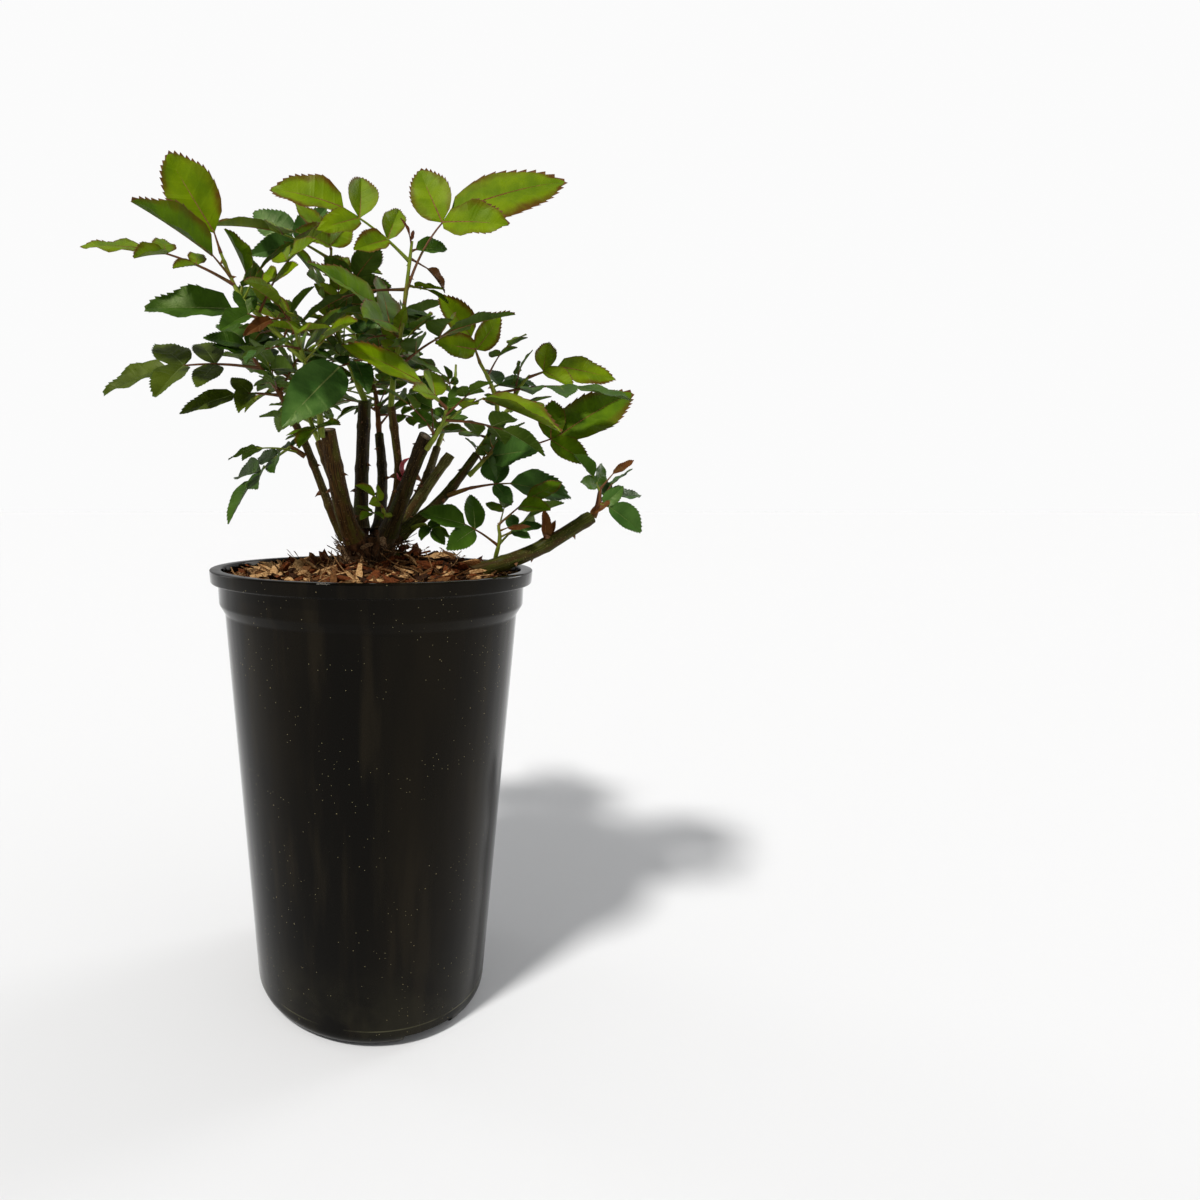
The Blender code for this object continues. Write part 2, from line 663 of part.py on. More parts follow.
def pot_profile():
    """The pot's section, from the middle of its floor up the inside and down the outside."""
    inside = [
        (0.0, FLOOR_THICKNESS),
        (FOOT_RING_INSIDE - 2 * MM, FLOOR_THICKNESS),
        (FOOT_RING_INSIDE, FOOT_RING_HEIGHT),
        (wall_radius(FOOT_RING_HEIGHT) - WALL_THICKNESS, FOOT_RING_HEIGHT),
        (wall_radius(WALL_TOP) - WALL_THICKNESS, WALL_TOP),
        (COLLAR_RADIUS - WALL_THICKNESS, COLLAR_FOOT),
        (COLLAR_RADIUS - WALL_THICKNESS, POT_HEIGHT - 1 * MM),
    ]
    outside = [
        (COLLAR_RADIUS, POT_HEIGHT),
        (RIM_RADIUS - RIM_ROUNDING, POT_HEIGHT),
        (RIM_RADIUS, POT_HEIGHT - RIM_ROUNDING),
        (RIM_RADIUS, RIM_FOOT),
        (COLLAR_RADIUS, RIM_FOOT - 0.5 * MM),
        (COLLAR_RADIUS, COLLAR_FOOT),
        (wall_radius(WALL_TOP), WALL_TOP),
        (WALL_FOOT_RADIUS, FOOT_ROUNDING),
    ]
    rounding = []
    for k in range(1, 4):
        turn = math.pi / 2 * k / 3
        rounding.append((
            WALL_FOOT_RADIUS - FOOT_ROUNDING * (1 - math.cos(turn)),
            FOOT_ROUNDING * (1 - math.sin(turn)),
        ))
    return inside + outside + rounding + [(0.0, 0.0)]


def build_pot(parts, cutters, materials):
    pot = turned("pot", pot_profile(), POT_STEPS, parts, materials["black_plastic"])
    for number, turn in enumerate(NOTCH_TURNS):
        work = bmesh.new()
        bmesh.ops.create_cube(work, size=1)
        bmesh.ops.scale(work, vec=(NOTCH_WIDTH, 2 * NOTCH_DEPTH, 2 * NOTCH_HEIGHT), verts=work.verts)
        mesh = bpy.data.meshes.new("drain_notch")
        work.to_mesh(mesh)
        work.free()
        cutter = add_object(f"drain_notch_{number}", mesh, cutters)
        out = direction(turn, 0) * WALL_FOOT_RADIUS
        cutter.location = (out.x, out.y, 0)
        cutter.rotation_euler.z = math.radians(turn + 90)
        cutter.hide_render = True
        cutter.display_type = "WIRE"
        cut = pot.modifiers.new("drain_notch", "BOOLEAN")
        cut.operation = "DIFFERENCE"
        cut.solver = "EXACT"
        cut.object = cutter
    return pot


def build_potting_mix(parts, materials):
    inside = WALL_THICKNESS + 1.5 * GAP
    profile = [
        (0.0, SOIL_TOP_LEVEL),
        (SOIL_TOP_RADIUS, SOIL_TOP_LEVEL),
        (SOIL_BED_RADIUS, SOIL_BED_LEVEL),
        (COLLAR_RADIUS - inside, SOIL_EDGE_LEVEL),
        (COLLAR_RADIUS - inside, COLLAR_FOOT + GAP),
        (wall_radius(WALL_TOP) - inside, WALL_TOP + GAP),
        (wall_radius(FOOT_RING_HEIGHT) - inside, FOOT_RING_HEIGHT + GAP),
        (FOOT_RING_INSIDE - GAP, FOOT_RING_HEIGHT + GAP),
        (FOOT_RING_INSIDE - 2.5 * MM, FLOOR_THICKNESS + GAP),
        (0.0, FLOOR_THICKNESS + GAP),
    ]
    return turned("potting_mix", profile, POT_STEPS, parts, materials["bark_mulch"])


# The crown and its canes

def cane_split(cane):
    """The points of a cane's foot, which the crown keeps, and of the cane beyond it."""
    curve = cane_curve(cane)
    lengths = lengths_along(curve)
    joint, along = point_along(curve, cane.foot)
    straight = 3 * MM
    foot = [p for p, s in zip(curve, lengths) if s < cane.foot - 2 * straight]
    foot += [joint - along * straight, joint]
    limb = [joint + along * GAP, joint + along * (GAP + straight)]
    limb += [p for p, s in zip(curve, lengths) if s > cane.foot + 2 * straight]
    share = cane.foot / lengths[-1]
    joint_radius = cane.radius + (cane.tip_radius - cane.radius) * share
    return foot, limb, joint_radius


def tapered(count, start, end):
    return [start + (end - start) * k / (count - 1) for k in range(count)]


def build_crown(parts, materials):
    foot_level = SOIL_TOP_LEVEL + GAP
    profile = [
        (0.0, foot_level + CROWN_HEIGHT),
        (CROWN_WAIST_RADIUS * 0.6, foot_level + CROWN_HEIGHT * 0.93),
        (CROWN_WAIST_RADIUS, foot_level + CROWN_HEIGHT * 0.66),
        (CROWN_WAIST_RADIUS * 1.05, foot_level + CROWN_HEIGHT * 0.30),
        (CROWN_FLARE_RADIUS, foot_level),
        (0.0, foot_level),
    ]
    knob = made_mesh(turned("crown", profile, CROWN_STEPS, parts, x=CROWN_X))
    feet = new_collection("cane_feet")
    for name, cane in CANES.items():
        foot, _, joint_radius = cane_split(cane)
        radii = tapered(len(foot), cane.radius * 1.1, joint_radius)
        made_mesh(tube(f"{name}_foot", foot, radii, feet))
    crown = joined(knob, feet)
    crown.data.materials.append(materials["rose_wood"])
    crown.data.shade_smooth()
    crown.data.set_sharp_from_angle(angle=math.radians(50))
    return crown


def build_canes(parts, materials):
    for name, cane in CANES.items():
        _, limb, joint_radius = cane_split(cane)
        radii = tapered(len(limb), joint_radius, cane.tip_radius)
        finish = "green_cane" if name in GREEN_CANES else "rose_wood"
        tube(name, limb, radii, parts, materials[finish])


# The foliage masses

def build_foliage(parts, cutters, materials):
    section = three_sided_section(cutters)
    for name, (curves, sprays) in plan_foliage().items():
        others = new_collection(f"{name}_twigs")
        shoot = SHOOTS[name]
        stems = []
        for number, curve in enumerate(curves):
            radii = tapered(len(curve), shoot.radius * (1 if number == 0 else 0.8), SHOOT_TIP_RADIUS)
            home = parts if number == 0 else others
            label = name if number == 0 else f"{name}_stem_{number}"
            stems.append(made_mesh(tube(label, curve, radii, home, section=section)))
        for count, spray in enumerate(sprays):
            radii = tapered(len(spray.midline), PETIOLE_RADIUS, PETIOLE_RADIUS * 0.85)
            made_mesh(tube(f"{name}_petiole_{count}", spray.midline, radii, others, section=section))
            for number, blade in enumerate(spray.blades):
                blade_solid(f"{name}_leaflet_{count}_{number}", blade, others)
        mass = joined(stems[0], others)
        mass.data.materials.append(materials["rose_foliage"])


def build():
    clear_scene()
    parts = new_collection("potted_rose_bush")
    cutters = new_collection("cutters")
    materials = make_materials()
    build_pot(parts, cutters, materials)
    build_potting_mix(parts, materials)
    build_crown(parts, materials)
    build_canes(parts, materials)
    build_foliage(parts, cutters, materials)


build()
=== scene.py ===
import math
import random
from collections import namedtuple
from itertools import product

import bmesh
import bpy
import numpy as np
from mathutils.bvhtree import BVHTree
from mathutils import Matrix, Quaternion, Vector, noise


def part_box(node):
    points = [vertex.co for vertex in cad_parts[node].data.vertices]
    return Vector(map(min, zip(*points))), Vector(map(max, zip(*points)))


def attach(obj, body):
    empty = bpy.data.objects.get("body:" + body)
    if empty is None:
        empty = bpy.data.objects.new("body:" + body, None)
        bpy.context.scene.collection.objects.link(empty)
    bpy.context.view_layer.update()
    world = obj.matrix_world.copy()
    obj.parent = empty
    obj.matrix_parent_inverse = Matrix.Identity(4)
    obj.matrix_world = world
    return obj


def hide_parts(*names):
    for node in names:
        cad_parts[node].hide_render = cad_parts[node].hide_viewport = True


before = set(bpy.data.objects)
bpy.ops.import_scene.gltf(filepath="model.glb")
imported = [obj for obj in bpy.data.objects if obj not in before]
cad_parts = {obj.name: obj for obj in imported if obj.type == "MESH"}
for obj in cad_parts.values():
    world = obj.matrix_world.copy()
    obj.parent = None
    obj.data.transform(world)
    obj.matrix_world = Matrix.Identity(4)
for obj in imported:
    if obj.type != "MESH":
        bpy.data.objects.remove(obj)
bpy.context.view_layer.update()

MM = 0.001

# The nursery pot: one thin moulded shell of glossy black plastic, with a rolled rim, a
# collar stepped in under it, a tapering wall, and three drain notches in its foot. It
# stands on its flat underside. Dust and potting grit cling to the outside.

POT_HEIGHT = 270 * MM
RIM_RADIUS = 100 * MM
RIM_FOOT = 262 * MM
RIM_DRAFT = 0.6 * MM
COLLAR_RADIUS = 94.5 * MM
COLLAR_FOOT = 249 * MM
COLLAR_DRAFT = 0.4 * MM
WALL_TOP = 243 * MM
WALL_TOP_RADIUS = 91 * MM
WALL_FOOT_RADIUS = 74.4 * MM
WALL_THICKNESS = 1.6 * MM
FOOT_ROUNDING = 8.5 * MM
ROUNDING_STEPS = 6
CORNER_ROUNDING = 0.9 * MM
CORNER_ANGLE = math.radians(26)
FLOOR_THICKNESS = 2 * MM
FLOOR_SLOPE = 2 * MM
FOOT_RING_INSIDE = 54.4 * MM
FOOT_RING_HEIGHT = 9 * MM
NOTCH_SIZE = (33 * MM, 24 * MM, 13 * MM)
NOTCH_TURNS = (-62, 58, 178)
TURNED_STEPS = 144
WELD = 0.01 * MM


def maths(operation, swapped=False):
    """A method of Wire that adds one Math node."""
    def added(wire, *others):
        values = (*others, wire) if swapped else (wire, *others)
        return wire.shading.node("Math", {"operation": operation}, dict(enumerate(values)))
    return added


class Wire:
    """A socket of a node tree whose arithmetic adds Math nodes."""

    def __init__(self, shading, socket):
        self.shading, self.socket = shading, socket

    __add__ = __radd__ = maths("ADD")
    __mul__ = __rmul__ = maths("MULTIPLY")
    __sub__ = maths("SUBTRACT")
    __rsub__ = maths("SUBTRACT", swapped=True)
    __gt__ = maths("GREATER_THAN")
    __lt__ = maths("LESS_THAN")
    __abs__ = maths("ABSOLUTE")
    fract = maths("FRACT")


class Shading:
    """A node tree that node() adds to."""

    def __init__(self, tree):
        self.tree = tree

    def join(self, socket, value):
        if isinstance(value, Wire):
            self.tree.links.new(value.socket, socket)
        else:
            socket.default_value = value

    def node(self, kind, settings=None, sockets=None, output=0):
        node = self.tree.nodes.new("ShaderNode" + kind)
        for setting, value in (settings or {}).items():
            setattr(node, setting, value)
        for socket, value in (sockets or {}).items():
            self.join(node.inputs[socket], value)
        return Wire(self, node.outputs[output])

    def between(self, value, low, high):
        """0 below low, 1 above high, and smooth between them."""
        sockets = {"Value": value, "From Min": low, "From Max": high}
        return self.node("MapRange", {"interpolation_type": "SMOOTHSTEP"}, sockets)

    def axis(self, number, source="Object"):
        """One of a point's three coordinates."""
        return self.node("SeparateXYZ", sockets={0: self.node("TexCoord", output=source)}, output=number)


class Finish(Shading):
    """A material: constant values go on its shader, and node() adds any other node."""

    def __init__(self, name, colour, roughness, **values):
        self.material = bpy.data.materials.new(name)
        self.material.use_nodes = True
        super().__init__(self.material.node_tree)
        self.shader = self.tree.nodes["Principled BSDF"]
        self.set("Base Color", (*colour, 1))
        self.set("Roughness", roughness)
        for socket, value in values.items():
            self.set(socket.replace("_", " "), value)
        self.material.diffuse_color = (*colour, 1)

    def set(self, socket, value):
        self.join(self.shader.inputs[socket], value)

    def where(self, source="Object", scale=(1, 1, 1)):
        point = self.node("TexCoord", output=source)
        return self.node("Mapping", sockets={"Vector": point, "Scale": scale})

    def mottle(self, scale, stretch=(1, 1, 1), detail=3.0, source="Object"):
        """Soft noise from 0 to 1; scale is in cells a metre."""
        point = self.where(source, stretch)
        return self.node("TexNoise", sockets={"Vector": point, "Scale": scale, "Detail": detail})

    def patches(self, scale, low, high, *pattern, **named):
        """Soft-edged patches: where the noise is above low, and in full above high."""
        return self.between(self.mottle(scale, *pattern, **named), low, high)

    def paint(self, ground, *layers):
        """A plain ground with other colours laid over it, each through its own mask."""
        for mask, colour in layers:
            ends = [end if isinstance(end, Wire) else (*end, 1) for end in (ground, colour)]
            ground = self.node("Mix", {"data_type": "RGBA"}, {0: mask, 6: ends[0], 7: ends[1]}, output=2)
        self.set("Base Color", ground)

    def relief(self, height, depth):
        normal = self.node("Bump", sockets={"Height": height, "Distance": depth, "Strength": 1.0})
        self.set("Normal", normal)


def placed(name, data):
    """A new object in the scene."""
    thing = bpy.data.objects.new(name, data)
    bpy.context.scene.collection.objects.link(thing)
    return thing


def piece_of(name, mesh, finish, sharp=40):
    """A finished mesh as a piece of the plant or its pot."""
    mesh.name = name
    mesh.materials.clear()
    mesh.materials.append(finish.material)
    mesh.shade_smooth()
    mesh.set_sharp_from_angle(angle=math.radians(sharp))
    piece = placed(name, mesh)
    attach(piece, "root")
    return piece


def mesh_from(shape):
    mesh = bpy.data.meshes.new("shape")
    shape.to_mesh(mesh)
    shape.free()
    return mesh


def applied(thing, *helpers):
    """An object's mesh with its modifiers applied; it and its helpers are removed."""
    depsgraph = bpy.context.evaluated_depsgraph_get()
    mesh = bpy.data.meshes.new_from_object(thing.evaluated_get(depsgraph))
    for used in (thing, *helpers):
        bpy.data.objects.remove(used)
    return mesh


def turned(profile):
    """A solid of revolution from its section, with its seam and poles merged."""
    shape = bmesh.new()
    points = [shape.verts.new((radius, 0, height)) for radius, height in profile]
    edges = [shape.edges.new(pair) for pair in zip(points, points[1:])]
    bmesh.ops.spin(
        shape, geom=points + edges, cent=(0, 0, 0), axis=(0, 0, 1),
        angle=math.tau, steps=TURNED_STEPS, use_merge=True)
    bmesh.ops.remove_doubles(shape, verts=shape.verts, dist=WELD)
    bmesh.ops.recalc_face_normals(shape, faces=shape.faces)
    return shape


def wall_radius(height):
    share = (height - FOOT_ROUNDING) / (WALL_TOP - FOOT_ROUNDING)
    return WALL_FOOT_RADIUS + (WALL_TOP_RADIUS - WALL_FOOT_RADIUS) * share


def pot_section():
    inside = [
        (0.0, FLOOR_THICKNESS),
        (FOOT_RING_INSIDE - FLOOR_SLOPE, FLOOR_THICKNESS),
        (FOOT_RING_INSIDE, FOOT_RING_HEIGHT),
        (wall_radius(FOOT_RING_HEIGHT) - WALL_THICKNESS, FOOT_RING_HEIGHT),
        (wall_radius(WALL_TOP) - WALL_THICKNESS, WALL_TOP),
        (COLLAR_RADIUS - WALL_THICKNESS, COLLAR_FOOT),
        (COLLAR_RADIUS - WALL_THICKNESS, POT_HEIGHT),
    ]
    outside = [
        (RIM_RADIUS, POT_HEIGHT),
        (RIM_RADIUS - RIM_DRAFT, RIM_FOOT),
        (COLLAR_RADIUS + COLLAR_DRAFT, RIM_FOOT - COLLAR_DRAFT),
        (COLLAR_RADIUS, COLLAR_FOOT),
        (wall_radius(WALL_TOP), WALL_TOP),
        (wall_radius(FOOT_ROUNDING), FOOT_ROUNDING),
    ]
    arc = []
    for k in range(1, ROUNDING_STEPS + 1):
        turn = math.pi / 2 * k / ROUNDING_STEPS
        inward = FOOT_ROUNDING * (1 - math.cos(turn))
        arc.append((WALL_FOOT_RADIUS - inward, FOOT_ROUNDING * (1 - math.sin(turn))))
    return inside + outside + arc + [(0.0, 0.0)]


def make_pot():
    shape = turned(pot_section())
    corners = [e for e in shape.edges if e.calc_face_angle(0) > CORNER_ANGLE]
    bmesh.ops.bevel(
        shape, geom=corners, offset=CORNER_ROUNDING, segments=3, profile=0.5, affect="EDGES",
        material=-1, clamp_overlap=True)
    pot = placed("pot_blank", mesh_from(shape))
    cutters = []
    for turn in NOTCH_TURNS:
        cutter = bmesh.new()
        heading = Matrix.Rotation(math.radians(turn + 90), 4, "Z")
        middle = Matrix.Translation((0, -WALL_FOOT_RADIUS, 0))
        bmesh.ops.create_cube(cutter, size=1, matrix=heading @ middle @ Matrix.Diagonal((*NOTCH_SIZE, 1)))
        cutters.append(placed("notch", mesh_from(cutter)))
        cut = pot.modifiers.new("notch", "BOOLEAN")
        cut.operation, cut.solver, cut.object = "DIFFERENCE", "EXACT", cutters[-1]
    return applied(pot, *cutters)


SEAM_HEIGHT = 11.5 * MM
SEAM_EDGES = (0.15 * MM, 0.55 * MM)
DUST_EDGES = (62 * MM, 6 * MM)
# Specks of dried mud, from coarse to fine: cells a metre, width, rarity and colour
SPECKS = (
    (150, 0.068, 0.96, (0.34, 0.25, 0.14)),
    (330, 0.10, 0.93, (0.27, 0.22, 0.11)),
    (620, 0.15, 0.88, (0.24, 0.21, 0.11)),
)


def black_plastic():
    """Glossy black with a film of dust and pale runs, dusty and specked with mud at its foot."""
    finish = Finish("glossy_black_plastic", (0.004, 0.004, 0.004), 0.1, Specular_IOR_Level=0.09,
                    Specular_Tint=(1.0, 0.92, 0.78, 1))
    height = finish.axis(2)
    film = finish.patches(16, 0.42, 0.72, (1, 1, 0.22), 5)
    runs = finish.patches(75, 0.50, 0.72, (1, 1, 0.10), 4)
    low = finish.between(height, *DUST_EDGES) * finish.patches(34, 0.36, 0.66, detail=5)
    seam = 1 - finish.between(abs(height - SEAM_HEIGHT), *SEAM_EDGES)
    seam = seam * finish.patches(30, 0.40, 0.60, detail=4)
    clumps = finish.mottle(26, detail=3) > 0.47
    dust, specks = low * 0.5, []
    for cells, width, rarity, tint in SPECKS:
        point = {"Vector": finish.where(), "Scale": cells}
        draw = finish.node("SeparateColor", sockets={0: finish.node("TexVoronoi", sockets=point, output=1)})
        grit = (finish.node("TexVoronoi", sockets=point) < width) * (draw > rarity) * clumps
        specks.append((grit * 0.85, tint))
        dust = dust + grit
    finish.paint((0.0009, 0.0008, 0.0007), (film * 0.8, (0.0085, 0.0063, 0.0032)),
                 (runs * 0.6, (0.0130, 0.0098, 0.0052)), (low * 0.55, (0.022, 0.020, 0.011)),
                 (seam * 0.8, (0.085, 0.080, 0.045)), *specks)
    finish.set("Roughness", 0.05 + film * 0.07 + runs * 0.05 + dust * 0.4)
    finish.relief(finish.mottle(46, (1, 1, 0.25), 2) * 0.8 + dust * 0.3, 0.35 * MM)
    return finish


pot = piece_of("nursery_pot", make_pot(), black_plastic())
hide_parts("pot")

# The potting mix: composted bark pressed into the pot up to its rim, lumpy on top, a little
# higher round the plant's foot and lower at the wall. Nothing holds it but the pot.

MIX_CLEARANCE = 2.05 * MM
MIX_SEAT = 0.3 * MM
MIX_EDGE_RADIUS = COLLAR_RADIUS - MIX_CLEARANCE
MIX_LEVEL = 264.6 * MM
MIX_RING = 2.6 * MM
# Lumps: height, number a metre, and the slice of the noise that they are cut from
MIX_LUMPS = ((1.7 * MM, 38, 0.3), (0.9 * MM, 170, 0.7))
# A heap round the plant and a hollow at the wall: height, distance from the middle, width
MIX_RINGS = ((3.4 * MM, 24 * MM, 15 * MM), (-1.5 * MM, 94 * MM, 14 * MM))
BURIED_BRANCH = [
    Vector(point) * MM for point in ((6, -3, 277), (18, -9, 281), (40, -24, 277), (62, -30, 274))]
BURIED_WIDTH = 9 * MM
BURIED_END = 66 * MM
BURIED_SLOPE = 14 * MM


def clamped(value, low=0.0, high=1.0):
    return min(max(value, low), high)


def bump(distance, height, width):
    """A soft bump: its full height at no distance, fading out over its width."""
    return height * math.exp(-((distance / width) ** 2))


def branch_cover(x, y, level):
    """How far mulch is drawn up over the inner part of the lowest branch."""
    cover = 0.0
    for start, end in zip(BURIED_BRANCH, BURIED_BRANCH[1:]):
        run, step = end - start, Vector((x, y, 0)) - start
        share = clamped((step.x * run.x + step.y * run.y) / (run.x ** 2 + run.y ** 2))
        near = start + run * share
        away = math.hypot(x - near.x, y - near.y)
        cover = max(cover, bump(away, near.z - level, BURIED_WIDTH))
    return cover * clamped((BURIED_END - x) / BURIED_SLOPE)


def mix_level(x, y):
    """The height of the potting mix at a place."""
    level = MIX_LEVEL
    for height, number, part in MIX_LUMPS:
        level += height * noise.noise(Vector((x, y, part)) * number)
    for height, distance, width in MIX_RINGS:
        level += bump(math.hypot(x, y) - distance, height, width)
    return level + branch_cover(x, y, level)


def make_potting_mix():
    rings = math.ceil(MIX_EDGE_RADIUS / MIX_RING)
    top = [(MIX_EDGE_RADIUS * k / rings, MIX_LEVEL) for k in range(rings + 1)]
    sides = [
        (MIX_EDGE_RADIUS, COLLAR_FOOT + MIX_SEAT),
        (wall_radius(WALL_TOP) - MIX_CLEARANCE, WALL_TOP + MIX_SEAT),
        (wall_radius(FOOT_RING_HEIGHT) - MIX_CLEARANCE, FOOT_RING_HEIGHT + MIX_SEAT),
        (FOOT_RING_INSIDE - MIX_SEAT, FOOT_RING_HEIGHT + MIX_SEAT),
        (FOOT_RING_INSIDE - FLOOR_SLOPE - 0.5 * MM, FLOOR_THICKNESS + MIX_SEAT),
        (0.0, FLOOR_THICKNESS + MIX_SEAT),
    ]
    shape = turned(top + sides)
    for vert in shape.verts:
        if vert.co.z > MIX_LEVEL - 1 * MM:
            vert.co.z = mix_level(vert.co.x, vert.co.y)
    return mesh_from(shape)


def composted_bark():
    finish = Finish("composted_bark", (0.05, 0.028, 0.016), 0.9, Specular_IOR_Level=0.05)
    grain = finish.mottle(420, detail=6)
    finish.paint((0.014, 0.007, 0.004), (finish.between(grain, 0.42, 0.66), (0.085, 0.036, 0.014)))
    finish.relief(grain + finish.mottle(1300) * 0.5, 1.6 * MM)
    return finish


mix = piece_of("potting_mix_bed", make_potting_mix(), composted_bark(), sharp=60)
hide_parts("potting_mix")

# The mulch: loose flakes, splinters and fibres of shredded bark, tan where they broke
# freshly and dark where they have weathered. They lie as they fell, out to the pot's wall
# and over the foot of the lowest branch.


class Heap:
    """Many small shapes gathered from arrays into one mesh."""

    def __init__(self):
        self.points, self.faces, self.uvs, self.count = [], [], [], 0

    def add(self, points, faces, uv=None):
        self.points.append(points)
        self.faces.append(faces + self.count)
        self.uvs.append(np.zeros((len(points), 2)) if uv is None else uv)
        self.count += len(points)

    def mesh(self):
        faces = np.concatenate(self.faces)
        mesh = bpy.data.meshes.new("heap")
        mesh.from_pydata(np.concatenate(self.points).tolist(), [], faces.tolist())
        uv = mesh.uv_layers.new(name="UVMap")
        uv.data.foreach_set("uv", np.concatenate(self.uvs)[faces.ravel()].ravel())
        return mesh


def arrays_of(shape):
    """A small shape's points and triangles, as arrays."""
    bmesh.ops.triangulate(shape, faces=shape.faces)
    bmesh.ops.recalc_face_normals(shape, faces=shape.faces)
    shape.verts.index_update()
    points = np.array([tuple(v.co) for v in shape.verts])
    faces = np.array([[v.index for v in face.verts] for face in shape.faces])
    shape.free()
    return points, faces


def moved(points, matrix):
    grid = np.array(matrix)
    return points @ grid[:3, :3].T + grid[:3, 3]


# A flake's ends are more ragged than its sides, and narrow to a share of its width
END_RAGGEDNESS = 1.6
END_WIDTHS = (0.3, 0.9)


def flake(dice, cuts, raggedness, bend=0.0):
    """A splinter one unit long, wide and thick, with ragged ends."""
    shape = bmesh.new()
    bmesh.ops.create_cube(shape, size=1)
    long_edges = [e for e in shape.edges if abs(e.verts[0].co.x - e.verts[1].co.x) > 0.5]
    bmesh.ops.subdivide_edges(shape, edges=long_edges, cuts=cuts)
    for vert in shape.verts:
        at_end = abs(vert.co.x) > 0.45
        wander = raggedness * (END_RAGGEDNESS if at_end else 1.0)
        vert.co.z += bend * (vert.co.x ** 2) * 4
        vert.co += Vector([dice.uniform(-wander, wander) for _ in range(3)])
        if at_end:
            vert.co.y *= dice.uniform(*END_WIDTHS)
    return arrays_of(shape)


def grained(name, dark, light, roughness=0.85, specular=0.1, cells=900, detail=5, edges=(0.3, 0.7),
            depth=0.5 * MM):
    """Dry bark, wood or horn: a fine grain between two colours that is also its relief."""
    finish = Finish(name, light, roughness, Specular_IOR_Level=specular)
    grain = finish.mottle(cells, detail=detail)
    finish.paint(dark, (finish.between(grain, *edges), light))
    finish.relief(grain, depth)
    return finish


FlakeKind = namedtuple(
    "FlakeKind", "name count length width thickness tilt dark light cuts raggedness bend",
    defaults=(2, 0.12, 0))
FLAKE_KINDS = (
    FlakeKind("mulch_dark_flakes", 620, (4, 14), (2, 6), (0.8, 2.2), 14,
              (0.013, 0.005, 0.002), (0.046, 0.017, 0.006)),
    FlakeKind("mulch_red_flakes", 430, (5, 19), (2, 8), (0.8, 2.2), 15,
              (0.062, 0.015, 0.004), (0.17, 0.048, 0.012)),
    FlakeKind("mulch_brown_flakes", 420, (5, 16), (1.5, 5), (0.7, 1.8), 15,
              (0.062, 0.024, 0.007), (0.17, 0.072, 0.023)),
    FlakeKind("mulch_tan_flakes", 190, (6, 22), (1.5, 7), (0.7, 1.8), 16,
              (0.26, 0.125, 0.040), (0.58, 0.36, 0.165)),
    FlakeKind("mulch_fibres", 520, (7, 24), (0.3, 0.8), (0.3, 0.6), 16,
              (0.12, 0.052, 0.016), (0.35, 0.20, 0.085), 3, 0.05, 6),
)
FLAKE_SHAPES = 6
FLAKE_REACH = 90.5 * MM
FLAKE_RISE = (0.1, 2.6)
FLAKE_ROLL = 16
FLAKE_WALL_GAP = 0.6 * MM
# A tilted flake is lifted by this share of its length, so that its lower end rests
TILT_LIFT = 0.32
PLANT_FOOT_RADIUS = 15 * MM
# Towards the pot's wall, over this width, flakes lie flatter, down to this share
FLAT_EDGE = 26 * MM
FLAT_SHARE = 0.3


def loose_place(dice, kind, sizes):
    """Where one flake lies: on the mix or on a flake under it, clear of the pot's wall."""
    length, width, thickness = sizes
    while True:
        heading = dice.uniform(0, math.tau)
        reach = FLAKE_REACH * math.sqrt(dice.uniform(0, 1))
        if reach < PLANT_FOOT_RADIUS:
            continue
        x, y = reach * math.cos(heading), reach * math.sin(heading)
        turn = dice.uniform(0, math.tau)
        calm = clamped((MIX_EDGE_RADIUS - reach) / FLAT_EDGE, FLAT_SHARE)
        tilt = math.radians(dice.gauss(0, kind.tilt)) * calm
        half = length / 2 * math.cos(tilt)
        ends = [(x + sign * half * math.cos(turn), y + sign * half * math.sin(turn)) for sign in (-1, 1)]
        if max(math.hypot(*end) for end in ends) < MIX_EDGE_RADIUS - FLAKE_WALL_GAP:
            break
    rise = dice.uniform(*FLAKE_RISE) * MM * calm + TILT_LIFT * length * abs(math.sin(tilt))
    seat = Matrix.Translation((x, y, mix_level(x, y) + rise)) @ Matrix.Rotation(turn, 4, "Z")
    roll = Matrix.Rotation(math.radians(dice.gauss(0, FLAKE_ROLL)), 4, "X")
    return seat @ Matrix.Rotation(tilt, 4, "Y") @ roll @ Matrix.Diagonal((length, width, thickness, 1))


for order, kind in enumerate(FLAKE_KINDS):
    dice = random.Random(500 + order)
    shapes = []
    for _ in range(FLAKE_SHAPES):
        bend = dice.uniform(-kind.bend, kind.bend) if kind.bend else 0.0
        shapes.append(flake(dice, kind.cuts, kind.raggedness, bend))
    heap = Heap()
    for _ in range(kind.count):
        sizes = [dice.uniform(*span) * MM for span in (kind.length, kind.width, kind.thickness)]
        points, faces = dice.choice(shapes)
        heap.add(moved(points, loose_place(dice, kind, sizes)), faces)
    tint = grained(kind.name.replace("mulch", "bark"), kind.dark, kind.light)
    piece_of(kind.name, heap.mesh(), tint)

# The graft union: a gnarled knob of old wood at the mix's surface, where the canes spring
# from one rootstock. It grew as one piece, with lumps and rough, flaking dark bark.

SOIL_TOP_LEVEL = 266 * MM
CROWN_X = -1 * MM
CROWN_FLARE_RADIUS = 20 * MM
CROWN_WAIST_RADIUS = 15.5 * MM
CROWN_HEIGHT = 24 * MM
CROWN_LUMPS = 26
CROWN_LUMP_RADIUS = (1.6, 4.2)
CROWN_GRAIN = 0.8 * MM
CROWN_ROUGHNESS = 0.75 * MM
CROWN_SHRINK = 0.15 * MM
